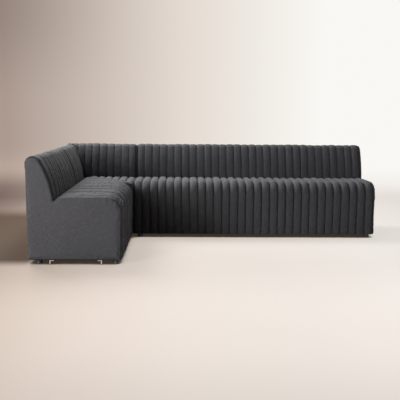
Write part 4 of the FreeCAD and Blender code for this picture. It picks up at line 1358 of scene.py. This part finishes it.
class SOFA_OT_stage(bpy.types.Operator):
    """Sets the pale studio floor and backdrop, the lamps and the camera"""

    bl_idname = "sofa.stage"
    bl_label = "Stage"

    def execute(self, context):
        finishes = context.scene.sofa_finishes
        context.scene.view_settings.view_transform = "Standard"
        self.backdrop(finishes)
        self.world(context, finishes)
        for lamp in LAMPS:
            self.lamp(*lamp)
        self.camera(context)
        return {"FINISHED"}

    def backdrop(self, finishes):
        """Floor that turns up into a wall; the wall is not seen from behind."""
        bm = bmesh.new()
        ends = [bm.verts.new((x, -STAGE_REACH, 0.0)) for x in (-STAGE_REACH, STAGE_REACH)]
        edge = bmesh.ops.contextual_create(bm, geom=ends)["edges"]
        floor = bmesh.ops.extrude_edge_only(bm, edges=edge)["geom"]
        bmesh.ops.translate(bm, verts=verts_of(floor), vec=(0, STAGE_REACH + WALL_DISTANCE, 0))
        front = edges_of(floor) + verts_of(floor)
        cove = bmesh.ops.spin(
            bm, geom=front, cent=(0, WALL_DISTANCE, COVE_RADIUS), axis=(1, 0, 0), angle=math.pi / 2,
            steps=16, use_duplicate=False,
        )["geom_last"]
        wall = bmesh.ops.extrude_edge_only(bm, edges=edges_of(cove))["geom"]
        bmesh.ops.translate(bm, verts=verts_of(wall), vec=(0, 0, WALL_HEIGHT))
        bmesh.ops.recalc_face_normals(bm, faces=bm.faces[:])
        bm.faces.ensure_lookup_table()
        if bm.faces[0].normal.z < 0:
            bmesh.ops.reverse_faces(bm, faces=bm.faces[:])
        for face in bm.faces:
            face.smooth = True
        sheet = linked("backdrop", into_mesh("backdrop", bm))
        sheet.data.materials.append(self.backdrop_finish(finishes))

    def backdrop_finish(self, finishes):
        """Painted in soft gradients of light and shade, with a painted shadow beside the return and painted
        contact shadows under the bases, and shown to the camera as its own glow; the floor also takes the
        lamps' light, so it keeps the sofa's shadow.
        """
        finish = Finish("studio backdrop")
        place = finish.node("ShaderNodeTexCoord", {}, {}, "Object")
        x, y, z = finish.axes(place)
        # Painted light: the floor's colour runs from painted shade on the left to brighter on the right.
        floor_stops = [
            (0.0, rgba(finishes.floor_dim)),
            (0.26, rgba(finishes.floor_shaded)),
            (0.6, rgba(finishes.floor_middle)),
            (1.0, rgba(finishes.floor_bright)),
        ]
        floor = finish.node("ShaderNodeValToRGB", {"stops": floor_stops}, {"Fac": (x + 2.6) / 3.8})
        # Painted light: a brighter band on the floor before the sofa, with painted shade on the left, deepest
        # far back, and at the near left.
        painted_light = 0.97 + 0.13 * (1 - y.step(-2.2, -0.7)) - 0.13 * (1 - y.step(-3.6, -2.6))
        painted_light = painted_light - (1 - x.step(-2.4, -0.9)) * (0.24 + 0.14 * y.step(1.1, 2.0))
        painted_light = painted_light - 0.11 * (1 - x.step(-1.7, -0.6)) * (1 - y.step(-1.0, 0.0))
        # Painted shadow: warm shade on the floor beside the return.
        beside = (1 - x.step(-1.46, -1.36)) * (0.88 + 0.12 * x.step(-1.9, -1.5))
        shade = beside * y.step(-1.0, -0.72) * (1 - y.step(1.25, 2.05))
        floor = finish.mix(shade, finish.tint(floor, painted_light), rgba(finishes.floor_shadow))
        # Painted light: the wall runs from painted shade on the left to bright on the right, and on the left
        # it is painted brighter near the floor and darker higher up.
        wall_stops = [
            (0.0, rgba(finishes.wall_shaded)),
            (0.45, rgba(finishes.wall_middle)),
            (0.8, rgba(finishes.wall_bright)),
        ]
        wall = finish.node("ShaderNodeValToRGB", {"stops": wall_stops}, {"Fac": (x + 2.6) / 5.2})
        lift = 0.3 * (1 - z.step(0.1, 0.7)) - 0.26 * z.step(1.1, 2.5)
        wall = finish.tint(wall, 1 + lift * (1 - x.step(-3.0, -0.5)))
        # Painted contact shadow: the floor's colour turns to the contact shadow colour where ambient
        # occlusion finds the sofa close above.
        open_above = finish.node("ShaderNodeAmbientOcclusion", {"samples": 8}, {"Distance": 0.1}, "AO")
        floor = finish.mix(open_above.step(0.3, 0.62), rgba(finishes.contact_shadow), floor)
        paint = finish.mix(z.step(0.0, COVE_RADIUS), floor, wall)
        shown = finish.in_view()
        grain = finish.noise(place, 2.0, 3.0)
        lit = finish.tint(paint, (0.97 + 0.06 * grain) * (0.37 + 0.63 * shown))
        finish.surface(Base_Color=lit, Roughness=0.7, Specular_IOR_Level=0.2)
        diffuse = Value(finish, finish.tree.nodes["Principled BSDF"].outputs["BSDF"])
        glowing = finish.node("ShaderNodeEmission", {}, {"Color": paint, "Strength": 1.0})
        share = shown * (0.8 + 0.2 * z.step(0.0, 0.15))
        front = finish.node("ShaderNodeMixShader", {}, {0: share, 1: diffuse, 2: glowing})
        behind = finish.node("ShaderNodeNewGeometry", {}, {}, "Backfacing")
        clear = finish.node("ShaderNodeBsdfTransparent", {}, {})
        return finish.show(finish.node("ShaderNodeMixShader", {}, {0: behind, 1: front, 2: clear}))

    def world(self, context, finishes):
        """A faint even fill; the camera sees the bright wall's colour beyond the backdrop."""
        studio = Finish("studio", "worlds")
        fill = studio.node("ShaderNodeBackground", {}, {"Color": (1.0, 0.985, 0.97, 1), "Strength": 0.01})
        bright = rgba(finishes.wall_bright)
        beyond = studio.node("ShaderNodeBackground", {}, {"Color": bright, "Strength": 1.0})
        mixed = studio.node("ShaderNodeMixShader", {}, {0: studio.in_view(), 1: fill, 2: beyond})
        context.scene.world = studio.show(mixed)

    def lamp(self, name, place, target, size, power):
        light = bpy.data.lights.new(name, "AREA")
        light.shape = "RECTANGLE"
        light.size, light.size_y = size
        light.energy = power
        lamp = linked(name, light)
        lamp.visible_camera = False
        lamp.location = place
        lamp.rotation_euler = (Vector(target) - Vector(place)).to_track_quat("-Z", "Y").to_euler()

    def camera(self, context):
        data = bpy.data.cameras.new("camera")
        data.sensor_width = SENSOR_WIDTH
        data.lens = FOCAL_LENGTH / PHOTO_WIDTH * SENSOR_WIDTH
        camera = linked("camera", data)
        camera.location = CAMERA_PLACE
        aim = Matrix.Rotation(CAMERA_YAW, 3, "Z") @ Matrix.Rotation(math.pi / 2 - CAMERA_PITCH, 3, "X")
        camera.rotation_euler = (aim @ Matrix.Rotation(CAMERA_ROLL, 3, "Z")).to_euler()
        context.scene.camera = camera


class SOFA_PT_sofa(bpy.types.Panel):
    """Sizes, finishes and steps of the sofa"""

    bl_idname = "SOFA_PT_sofa"
    bl_label = "Channelled corner sofa"
    bl_space_type = "VIEW_3D"
    bl_region_type = "UI"
    bl_category = "Sofa"

    def draw(self, context):
        layout = self.layout
        for operator in OPERATORS:
            layout.operator(operator.bl_idname)
        for group in (context.scene.sofa_sizes, context.scene.sofa_finishes):
            column = layout.box().column()
            for name in group.__annotations__:
                column.prop(group, name)


OPERATORS = (
    SOFA_OT_seat_covers,
    SOFA_OT_back_covers,
    SOFA_OT_end_panels,
    SOFA_OT_joint_panels,
    SOFA_OT_outside_backs,
    SOFA_OT_dust_covers,
    SOFA_OT_fillings,
    SOFA_OT_frames,
    SOFA_OT_metalwork,
    SOFA_OT_feet,
    SOFA_OT_stage,
)
CLASSES = (SofaSizes, SofaFinishes) + OPERATORS + (SOFA_PT_sofa,)


def register():
    for each in CLASSES:
        bpy.utils.register_class(each)
    bpy.types.Scene.sofa_sizes = bpy.props.PointerProperty(type=SofaSizes)
    bpy.types.Scene.sofa_finishes = bpy.props.PointerProperty(type=SofaFinishes)


def unregister():
    del bpy.types.Scene.sofa_finishes
    del bpy.types.Scene.sofa_sizes
    for each in reversed(CLASSES):
        bpy.utils.unregister_class(each)


def main():
    """Dresses the sofa step by step."""
    register()
    bpy.ops.sofa.seat_covers()
    bpy.ops.sofa.back_covers()
    bpy.ops.sofa.end_panels()
    bpy.ops.sofa.joint_panels()
    bpy.ops.sofa.outside_backs()
    bpy.ops.sofa.dust_covers()
    bpy.ops.sofa.fillings()
    bpy.ops.sofa.frames()
    bpy.ops.sofa.metalwork()
    bpy.ops.sofa.feet()
    bpy.ops.sofa.stage()


if __name__ == "__main__":
    main()
